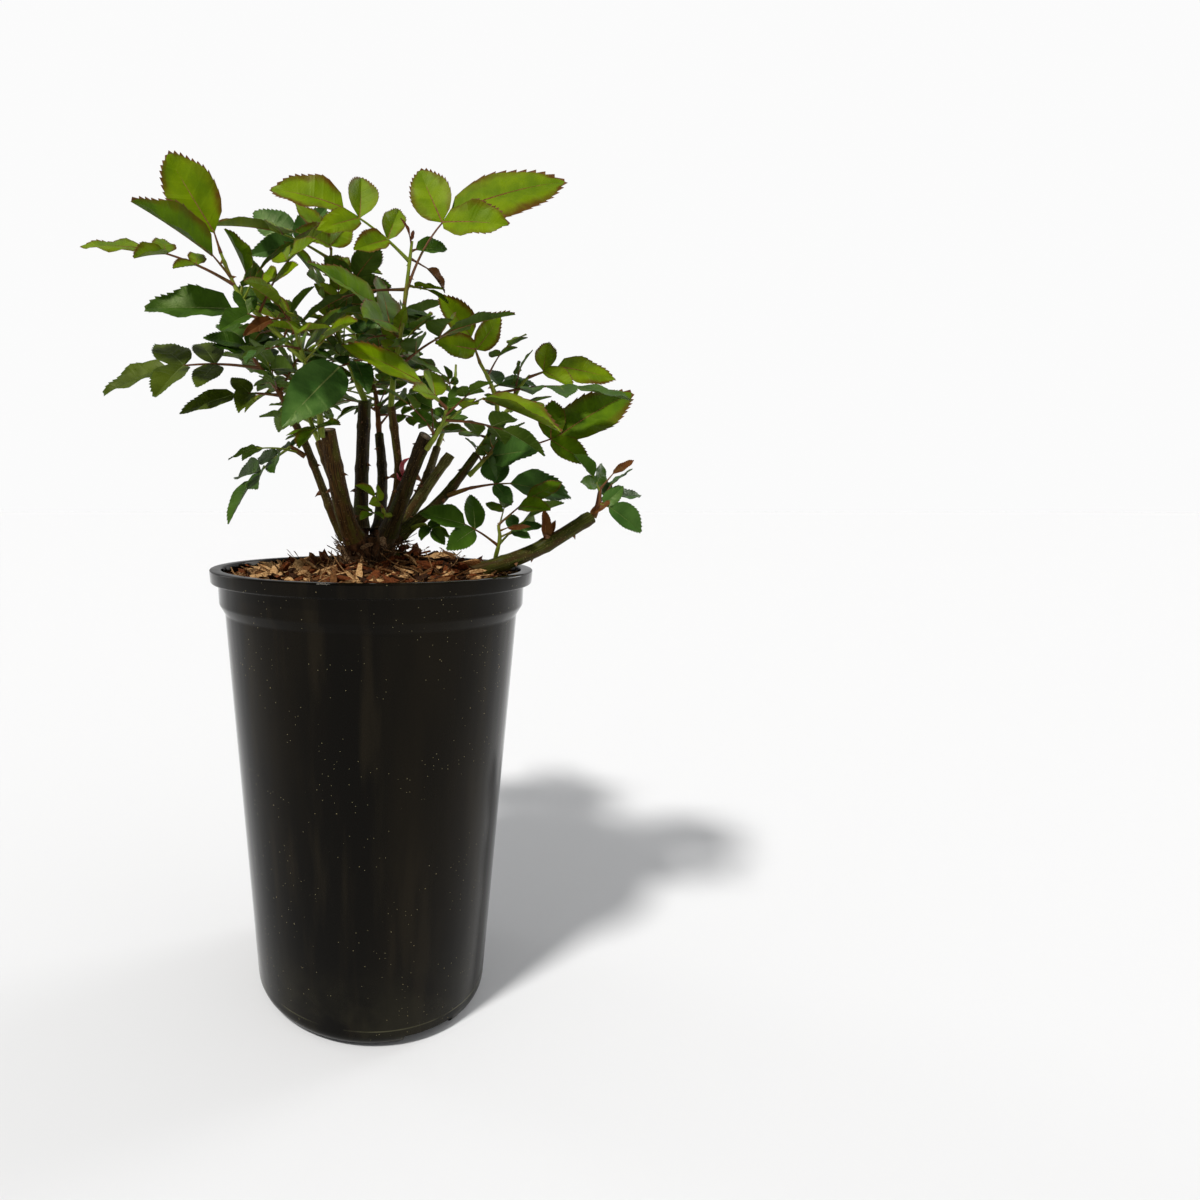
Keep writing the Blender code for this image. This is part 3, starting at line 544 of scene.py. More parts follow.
# Its rough bark: cells a metre, then the noise's dimension, lacunarity and octaves
CROWN_CELLS = 210
CROWN_FRACTAL = (0.9, 2.1, 4)
# The limbs of the crown are this much thicker than their canes, and reach this share of a
# cane's foot; the cane's own bark starts inside them
LIMB_SWELL = 1.06
LIMB_END = 0.98
BARK_START = 0.72

Cane = namedtuple("Cane", "foot radius tip_radius route bark cut", defaults=("brown", False))


def place(x, y, z):
    return Vector((x, y, z)) * MM


# Each cane is a short route in millimetres from inside the crown to its end
CANES = {
    "cane_left_thin": Cane(24 * MM, 2.9 * MM, 2.2 * MM, [
        (-4, -3, 276), (-19, -6, 292), (-27, -10, 312), (-39, -14, 344), (-50, -14, 366)], "mixed"),
    "cane_left_thick": Cane(22 * MM, 6.4 * MM, 4.6 * MM, [
        (-3, -5, 276), (-13, -15, 294), (-19, -23, 318), (-25, -32, 353)], "brown", True),
    "cane_middle": Cane(24 * MM, 4.8 * MM, 4.3 * MM, [
        (-3, 5, 276), (-6, 11, 292), (-6, 13, 320), (-4, 16, 374)], "dark"),
    "cane_centre": Cane(28 * MM, 2.9 * MM, 2.4 * MM, [
        (6, 0, 280), (14, -6, 309), (17, -14, 328), (12, -25, 366)], "brown"),
    "cane_cut_right": Cane(22 * MM, 5.6 * MM, 3.9 * MM, [
        (5, -5, 278), (13, -14, 297), (22, -30, 323), (31, -45, 348)], "dark", True),
    "cane_cut_second": Cane(24 * MM, 3.6 * MM, 3.2 * MM, [
        (6, 3, 280), (22, 6, 299), (36, 6, 320), (51, 6, 341)], "pale", True),
    "cane_right": Cane(26 * MM, 4.2 * MM, 2.6 * MM, [
        (4, 0, 278), (22, -1, 293), (38, 0, 306), (52, 0, 321), (66, 0, 340)], "green"),
    "branch_low_right": Cane(24 * MM, 5.6 * MM, 4.0 * MM, [
        (2, 0, 280), (18, -9, 274), (40, -24, 269), (63, -30, 270), (97, -30, 282), (130, -30, 302)],
        "green", True),
    "cane_back_left": Cane(26 * MM, 4.0 * MM, 3.0 * MM, [
        (-4, 4, 276), (-13, 20, 296), (-26, 40, 326), (-36, 54, 352)], "brown"),
    "cane_back": Cane(26 * MM, 4.4 * MM, 3.2 * MM, [
        (2, 5, 276), (6, 24, 298), (8, 46, 328), (6, 62, 358)], "dark"),
    "cane_back_right": Cane(26 * MM, 3.8 * MM, 2.8 * MM, [
        (8, 5, 276), (20, 18, 296), (36, 36, 322), (46, 52, 348)], "mixed"),
}


def smooth_route(points, step):
    """Points about one step apart on a smooth curve through the route's own points."""
    ends = [2 * points[0] - points[1], *points, 2 * points[-1] - points[-2]]
    curve = []
    for before, start, end, after in zip(ends, ends[1:], ends[2:], ends[3:]):
        count = max(1, round((end - start).length / step))
        for k in range(count):
            t = k / count
            linear = (end - before) * t
            square = (2 * before - 5 * start + 4 * end - after) * t * t
            cube = (3 * start - before - 3 * end + after) * t * t * t
            curve.append(start + (linear + square + cube) / 2)
    curve.append(points[-1])
    return curve


def lengths_along(curve):
    lengths = [0.0]
    for start, end in zip(curve, curve[1:]):
        lengths.append(lengths[-1] + (end - start).length)
    return lengths


def point_along(curve, distance):
    """The point a distance along a curve, and the curve's direction there."""
    lengths = lengths_along(curve)
    distance = clamped(distance, 0.0, lengths[-1])
    for k in range(1, len(curve)):
        if distance <= lengths[k] or k == len(curve) - 1:
            run = curve[k] - curve[k - 1]
            part = (distance - lengths[k - 1]) / run.length
            return curve[k - 1] + run * part, run.normalized()


def frames_along(curve, distances):
    """Point, direction and two sideways axes at each distance, without twist."""
    frames = []
    side = None
    for distance in distances:
        point, along = point_along(curve, distance)
        side = along.orthogonal() if side is None else side - along * side.dot(along)
        side = side.normalized()
        frames.append((point, along, side, along.cross(side)))
    return frames


def cane_line(cane):
    """A cane's curve and its length."""
    curve = smooth_route([place(*point) for point in cane.route], 9 * MM)
    return curve, lengths_along(curve)[-1]


def wrapped_limb(curve, start, end, radius_at, sides, spacing):
    """A grid wrapped round a stretch of a limb; its UV map is in metres round and along."""
    rings = max(3, round((end - start) / spacing))
    shape = bmesh.new()
    uv = shape.loops.layers.uv.new("UVMap")
    bmesh.ops.create_grid(shape, x_segments=sides, y_segments=rings, size=1, calc_uvs=True)
    width = max(v.co.x for v in shape.verts) * 2
    height = max(v.co.y for v in shape.verts) * 2
    frames = frames_along(curve, [start + (end - start) * k / rings for k in range(rings + 1)])
    girth = math.tau * radius_at(start, 0)
    for face in shape.faces:
        for loop in face.loops:
            u, v = loop.vert.co.x / width + 0.5, loop.vert.co.y / height + 0.5
            loop[uv].uv = (u * girth, start + v * (end - start))
    for vert in shape.verts:
        u, v = vert.co.x / width + 0.5, vert.co.y / height + 0.5
        point, along, side, other = frames[round(v * rings)]
        turn = math.tau * u
        radius = radius_at(start + v * (end - start), turn)
        vert.co = point + (side * math.cos(turn) + other * math.sin(turn)) * radius
    bmesh.ops.remove_doubles(shape, verts=shape.verts, dist=WELD)
    open_ends = [e for e in shape.edges if e.is_boundary]
    bmesh.ops.holes_fill(shape, edges=open_ends, sides=0)
    bmesh.ops.recalc_face_normals(shape, faces=shape.faces)
    return shape


def make_crown():
    dice = random.Random(41)
    level = SOIL_TOP_LEVEL + 0.3 * MM
    section = [
        (0.0, level + CROWN_HEIGHT),
        (CROWN_WAIST_RADIUS * 0.6, level + CROWN_HEIGHT * 0.93),
        (CROWN_WAIST_RADIUS * 0.93, level + CROWN_HEIGHT * 0.66),
        (CROWN_WAIST_RADIUS * 1.0, level + CROWN_HEIGHT * 0.30),
        (CROWN_FLARE_RADIUS * 0.97, level),
        (0.0, level - 3 * MM),
    ]
    shape = turned(section)
    bmesh.ops.translate(shape, vec=(CROWN_X, 0, 0), verts=shape.verts)
    for cane in CANES.values():
        foot = smooth_route([place(*point) for point in cane.route], 4 * MM)
        radius = cane.radius * LIMB_SWELL
        limb = mesh_from(wrapped_limb(foot, 0.0, cane.foot * LIMB_END, lambda s, turn: radius, 12, 4 * MM))
        shape.from_mesh(limb)
        bpy.data.meshes.remove(limb)
    for _ in range(CROWN_LUMPS):
        turn, lift = dice.uniform(0, math.tau), dice.uniform(0.05, 0.85)
        reach = CROWN_WAIST_RADIUS * dice.uniform(0.82, 0.98)
        centre = Matrix.Translation((
            CROWN_X + reach * math.cos(turn), reach * math.sin(turn), level + CROWN_HEIGHT * lift))
        bmesh.ops.create_icosphere(
            shape, subdivisions=2, radius=dice.uniform(*CROWN_LUMP_RADIUS) * MM, matrix=centre)
    blank = placed("crown_blank", mesh_from(shape))
    fuse = blank.modifiers.new("fuse", "REMESH")
    fuse.mode, fuse.voxel_size = "VOXEL", CROWN_GRAIN
    shape = bmesh.new()
    shape.from_mesh(applied(blank))
    for _ in range(3):
        bmesh.ops.smooth_vert(
            shape, verts=shape.verts, factor=0.5, use_axis_x=True, use_axis_y=True, use_axis_z=True)
    shape.normal_update()
    for vert in shape.verts:
        rough = noise.fractal(vert.co * CROWN_CELLS, *CROWN_FRACTAL)
        vert.co += vert.normal * (CROWN_ROUGHNESS * rough - CROWN_SHRINK)
    return mesh_from(shape)


def rough_bark():
    finish = Finish("old_flaking_bark", (0.10, 0.055, 0.032), 0.88, Specular_IOR_Level=0.08)
    grain = finish.mottle(260, (1, 1, 0.45), 6)
    moss = finish.patches(60, 0.52, 0.72, detail=4) * 0.5
    finish.paint((0.020, 0.009, 0.004), (finish.between(grain, 0.36, 0.68), (0.150, 0.068, 0.028)),
                 (moss, (0.085, 0.075, 0.030)))
    finish.relief(grain + finish.mottle(900, (1, 1, 0.4)) * 0.4, 1.4 * MM)
    return finish


crown = piece_of("graft_union_bark", make_crown(), rough_bark(), sharp=180)
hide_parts("crown")

# The canes: stems of last year's wood, pruned back to different heights. The older ones
# have streaked brown bark with pale breathing pores, the younger ones are still green.
# Each swells a little at its old leaf joints, and grows out of the crown.

CANE_SIDES = 28
CANE_RING = 1.6 * MM
JOINT_SPACING = 27 * MM
JOINT_SIZE = (0.45 * MM, 2.2 * MM)
FOOT_FLARE = 0.5 * MM
FOOT_FLARE_LENGTH = 6 * MM
# The bark lies a little inside the solid cane, roughened by fissures. The coarse ones have
# this many cells a metre across and along; the fine ones 2.3 times as many across.
BARK_SHARE = 0.98
FISSURE_CELLS = (230, 60)
FINE_CELLS = (2.3, 240)
FISSURE_DEPTHS = (0.30, 0.12)
CUT_INSET = 1.2 * MM
CUT_SLANT = 0.22
CUT_DEPTH = 0.35 * MM


def cane_skin(cane, seed):
    """A cane's radius along and round it: taper, leaf joints and shallow fissures."""
    _, length = cane_line(cane)
    roughness = 0.5 if cane.bark == "green" else 1.0
    coarse_depth, fine_depth = FISSURE_DEPTHS

    def radius_at(along, turn):
        radius = cane.radius + (cane.tip_radius - cane.radius) * along / length
        to_joint = (along + seed * 5 * MM) % JOINT_SPACING - JOINT_SPACING / 2
        round_it = Vector((math.cos(turn), math.sin(turn), 0)) * radius * FISSURE_CELLS[0]
        fissure = noise.noise(round_it + Vector((seed, 0, along * FISSURE_CELLS[1])))
        fine = noise.noise(round_it * FINE_CELLS[0] + Vector((0, seed, along * FINE_CELLS[1])))
        flare = FOOT_FLARE * math.exp(-((along - cane.foot) / FOOT_FLARE_LENGTH))
        return (radius * BARK_SHARE + bump(to_joint, *JOINT_SIZE) + flare
                + roughness * MM * (coarse_depth * fissure + fine_depth * fine))

    return radius_at


def bark_finish(name, shade, light, patch, pores, roughness, sheen):
    """Bark with streaks that run along the cane, soft patches, and pale pores."""
    finish = Finish(name, light, roughness, Specular_IOR_Level=0.06, Coat_Weight=sheen, Coat_Roughness=0.35)
    streak = finish.mottle(1.0, (1300, 90, 1), 5, "UV")
    broad = finish.patches(1.0, 0.48, 0.62, (110, 45, 1), 3, "UV")
    spots = finish.node("TexVoronoi", sockets={"Vector": finish.where("UV", (330, 560, 1)), "Scale": 1.0})
    pore = finish.between(spots, 0.26, 0.14)
    finish.paint(shade, (finish.between(streak, 0.34, 0.68), light), (broad * 0.8, patch),
                 (pore * 0.65, pores))
    finish.set("Roughness", roughness - 0.12 + streak * 0.24)
    finish.relief(streak + pore * 0.5 + finish.mottle(1.0, (2600, 500, 1), 3, "UV") * 0.4, 0.9 * MM)
    return finish


BARKS = {
    "brown": bark_finish("brown_cane_bark", (0.022, 0.010, 0.003), (0.115, 0.058, 0.014),
                         (0.084, 0.078, 0.010), (0.22, 0.14, 0.055), 0.62, 0.02),
    "dark": bark_finish("dark_cane_bark", (0.009, 0.005, 0.0015), (0.050, 0.030, 0.008),
                        (0.040, 0.046, 0.006), (0.13, 0.088, 0.038), 0.58, 0.02),
    "mixed": bark_finish("weathered_cane_bark", (0.032, 0.021, 0.005), (0.104, 0.080, 0.017),
                         (0.072, 0.028, 0.009), (0.22, 0.17, 0.070), 0.58, 0.03),
    "pale": bark_finish("split_pale_bark", (0.050, 0.042, 0.009), (0.215, 0.205, 0.058),
                        (0.110, 0.052, 0.015), (0.34, 0.26, 0.11), 0.58, 0.02),
    "green": bark_finish("green_cane_bark", (0.025, 0.027, 0.003), (0.068, 0.074, 0.007),
                         (0.056, 0.027, 0.007), (0.17, 0.13, 0.042), 0.48, 0.06),
}
CUT_SLANTS = {
    "cane_left_thick": (0.25, 0.2, 1), "cane_cut_right": (0.5, 0.35, 1),
    "cane_cut_second": (0.75, -0.3, 1), "branch_low_right": (0.2, -0.2, 1)}


def cut_plane(name):
    """A point of the cane's pruning cut, and the way that the cut faces."""
    tip, along = point_along(*cane_line(CANES[name]))
    return tip - along * CUT_INSET, (along + Vector(CUT_SLANTS[name]).cross(along) * CUT_SLANT).normalized()


for seed, (name, cane) in enumerate(CANES.items()):
    curve, length = cane_line(cane)
    skin = cane_skin(cane, seed)
    shape = wrapped_limb(curve, cane.foot * BARK_START, length, skin, CANE_SIDES, CANE_RING)
    if cane.cut:
        point, facing = cut_plane(name)
        bmesh.ops.bisect_plane(
            shape, geom=[*shape.verts, *shape.edges, *shape.faces], plane_co=point, plane_no=facing,
            clear_outer=True)
        rim = [e for e in shape.edges if e.is_boundary]
        cap = bmesh.ops.holes_fill(shape, edges=rim, sides=0)["faces"]
        bmesh.ops.inset_region(shape, faces=cap, thickness=0.5 * MM, depth=-CUT_DEPTH)
        bmesh.ops.recalc_face_normals(shape, faces=shape.faces)
    limb = piece_of(f"{name}_bark", mesh_from(shape), BARKS[cane.bark], sharp=50)
    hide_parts(name)

# The pruning cuts: where the secateurs took each cane's top off, the wood shows as a pale
# disc round a softer pith, greyed and a little sunken since it dried.

CUT_WOOD = {
    "roughness": 0.8, "specular": 0.5, "cells": 700, "detail": 4, "edges": (0.35, 0.65), "depth": 0.4 * MM}


def cut_discs(share, lift):
    """A disc on each pruning cut, its radius a share of the cane's."""
    shape = bmesh.new()
    for name in CUT_SLANTS:
        point, facing = cut_plane(name)
        radius = CANES[name].tip_radius * share
        seat = Matrix.Translation(point + facing * (lift - CUT_DEPTH))
        turn = facing.to_track_quat("Z", "Y").to_matrix().to_4x4()
        bmesh.ops.create_cone(
            shape, cap_ends=True, segments=20, radius1=radius, radius2=radius * 0.94, depth=0.3 * MM,
            matrix=seat @ turn)
    return mesh_from(shape)


piece_of("pruning_cuts", cut_discs(0.86, 0.05 * MM),
         grained("dried_cut_wood", (0.10, 0.065, 0.035), (0.26, 0.18, 0.10), **CUT_WOOD))
piece_of("cane_pith", cut_discs(0.34, 0.16 * MM),
         grained("dried_pith", (0.22, 0.14, 0.08), (0.42, 0.31, 0.19), **CUT_WOOD))

# Round the crown lie the dry scales and hair-thin rootlets of the old graft. They cling to
# its rough bark and lean out over the mulch.

LITTER_LEVELS = 19 * MM
# Above 1, this makes the litter denser towards the mulch
LITTER_LOWNESS = 1.6
LITTER_SHAPES = 5
LITTER_SWING = 1.1
# A piece of litter clings by its end: its middle lies this far out, in lengths and thicknesses
LITTER_OUT = 0.42
LITTER_UP = 0.4
Litter = namedtuple("Litter", "name count length width thickness lean bend dark light")
CROWN_LITTER = (
    Litter("crown_husks", 46, (5, 12), (1.6, 4.2), (0.4, 0.8), (5, 40), 0.14,
           (0.13, 0.070, 0.030), (0.40, 0.27, 0.15)),
    Litter("crown_rootlets", 210, (6, 15), (0.35, 0.7), (0.3, 0.6), (10, 60), 0.10,
           (0.030, 0.016, 0.008), (0.13, 0.075, 0.036)),
)
surface = BVHTree.FromPolygons(
    [vert.co for vert in crown.data.vertices], [tuple(face.vertices) for face in crown.data.polygons])


def litter_heap(kind, seed):
    dice = random.Random(seed)
    shapes = [flake(dice, 4, 0.07, dice.choice((-kind.bend, kind.bend))) for _ in range(LITTER_SHAPES)]
    heap = Heap()
    while len(heap.points) < kind.count:
        turn = dice.uniform(0, math.tau)
        level = SOIL_TOP_LEVEL + dice.uniform(0.0, 1.0) ** LITTER_LOWNESS * LITTER_LEVELS
        inward = Vector((-math.cos(turn), -math.sin(turn), 0))
        seat, normal, _, _ = surface.ray_cast(Vector((CROWN_X, 0, level)) - inward * 60 * MM, inward)
        if seat is None:
            continue
        rise = math.radians(dice.uniform(*kind.lean))
        downhill = Vector((0, 0, -1)).cross(normal).cross(normal)
        tangent = Quaternion(normal, dice.uniform(-LITTER_SWING, LITTER_SWING)) @ downhill
        along = (tangent.normalized() * math.cos(rise) + normal * math.sin(rise)).normalized()
        across = normal.cross(along).normalized()
        spans = (kind.length, kind.width, kind.thickness)
        length, width, thickness = (dice.uniform(*span) * MM for span in spans)
        turned_to = Matrix((along, across, along.cross(across))).transposed().to_4x4()
        middle = Matrix.Translation(seat + along * length * LITTER_OUT + normal * thickness * LITTER_UP)
        points, faces = dice.choice(shapes)
        heap.add(moved(points, middle @ turned_to @ Matrix.Diagonal((length, width, thickness, 1))), faces)
    return heap


for order, kind in enumerate(CROWN_LITTER):
    tint = grained(kind.name.replace("crown", "dry"), kind.dark, kind.light)
    piece_of(kind.name, litter_heap(kind, 70 + order).mesh(), tint)

# The prickles: hooked downwards, flat-footed and dry on the old wood, softer and redder on
# the young. They are outgrowths of the bark, so each sits straight on its stem.

CANE_PRICKLE_SPACING = 13 * MM
CANE_PRICKLE_SIZE = (2.6, 5.2)
GOLDEN_ANGLE = 137.5
# A prickle one unit tall: its cone's stretch along and across the stem, how far it hooks,
# and how far it is sunk
PRICKLE_STRETCH = (1.5, 0.62)
PRICKLE_HOOK = 0.34
PRICKLE_SINK = 0.08


def prickle_form():
    """A prickle one unit tall that stands on z = 0 and hooks towards -x."""
    shape = bmesh.new()
    bmesh.ops.create_cone(shape, cap_ends=True, segments=6, radius1=0.30, radius2=0.14, depth=0.5)
    top = max(shape.faces, key=lambda face: face.calc_center_median().z)
    bmesh.ops.poke(shape, faces=[top])["verts"][0].co.z = 0.75
    for vert in shape.verts:
        rise = vert.co.z + 0.25
        hook = PRICKLE_HOOK * rise ** 2
        along, across = vert.co.x * PRICKLE_STRETCH[0], vert.co.y * PRICKLE_STRETCH[1]
        vert.co = (along - hook, across, rise - PRICKLE_SINK)
    return arrays_of(shape)


PRICKLE_POINTS, PRICKLE_FACES = prickle_form()


def add_prickles(heap, dice, curve, start, end, radius_at, spacing, size):
    count = int((end - start) / spacing)
    for number in range(count):
        distance = start + (end - start) * (number + dice.uniform(0.2, 0.8)) / count
        point, along = point_along(curve, distance)
        turn = math.radians(GOLDEN_ANGLE * number + dice.uniform(-30, 30))
        outward = Quaternion(along, turn) @ along.orthogonal().normalized()
        seat = Matrix.Translation(point + outward * radius_at(distance))
        upright = Matrix((along, outward.cross(along), outward)).transposed().to_4x4()
        scale = Matrix.Scale(dice.uniform(*size) * MM, 4)
        heap.add(moved(PRICKLE_POINTS, seat @ upright @ scale), PRICKLE_FACES)


def cane_prickles():
    dice = random.Random(88)
    heap = Heap()
    for name, cane in CANES.items():
        curve, length = cane_line(cane)
        start = BURIED_END if name == "branch_low_right" else cane.foot + 3 * MM

        def radius_at(distance):
            return (cane.radius + (cane.tip_radius - cane.radius) * distance / length) * 0.94

        add_prickles(heap, dice, curve, start, length - 5 * MM, radius_at,
                     CANE_PRICKLE_SPACING, CANE_PRICKLE_SIZE)
    return heap.mesh()


dry_horn = grained("dry_red_brown_prickles", (0.060, 0.022, 0.010), (0.20, 0.095, 0.040), 0.55)
piece_of("cane_prickles", cane_prickles(), dry_horn)

# The leafy shoots: this season's growth, green where it is soft and red-brown where it
# ripens, with thorns and a thickened joint at every leaf. Each grows on from its cane and
# carries compound leaves on thin stalks that find their own room among their neighbours.

GAP = 0.3 * MM
SHOOT_TIP_RADIUS = 1.1 * MM
BLADE_WIDTH = 0.56
BLADE_RINGS = ((0.36, 1.0), (0.72, 0.80))
BLADE_FOLD = 0.22
BLADE_DROOP = 0.10
FIRST_PAIR_BACK = 0.24
PAIR_SPACING = 0.46
FIRST_PAIR_SIZE = 0.88
PAIR_SHRINK = 0.13
PAIR_SPREAD = 64
PAIR_SPREAD_STEP = 6
PAIR_LIFT = 0.12
# A pair of leaflets stands no nearer the stalk's foot than this share of the stalk, less
# the step for each further pair
PAIR_FOOT = 0.5
PAIR_FOOT_STEP = 0.15
SHORTEST_STALK = 2 * MM
PETIOLE_STEP = 22 * MM
STEM_STEP = 12 * MM
LEAF_TRIES = 14
SET_SWING = 1.2
RULE_SWING = 4.0
CLEARANCE = 4.6 * MM
PITCH = 3 * MM
PETIOLE_FREE_LENGTH = 9 * MM
UP = Vector((0, 0, 1))

Leaf = namedtuple(
    "Leaf", "tone at heading rise reach size leaflets roll bow pairs back turn",
    defaults=(5, 0, 0.07, FIRST_PAIR_SIZE, FIRST_PAIR_BACK, 0))
Stem = namedtuple("Stem", "at route leaves more", defaults=((), 0))
Shoot = namedtuple("Shoot", "cane at radius stems room heading seed fine", defaults=(None, 0, 1, 4))
Blade = namedtuple("Blade", "root along normal length")
Spray = namedtuple("Spray", "midline blades tone")

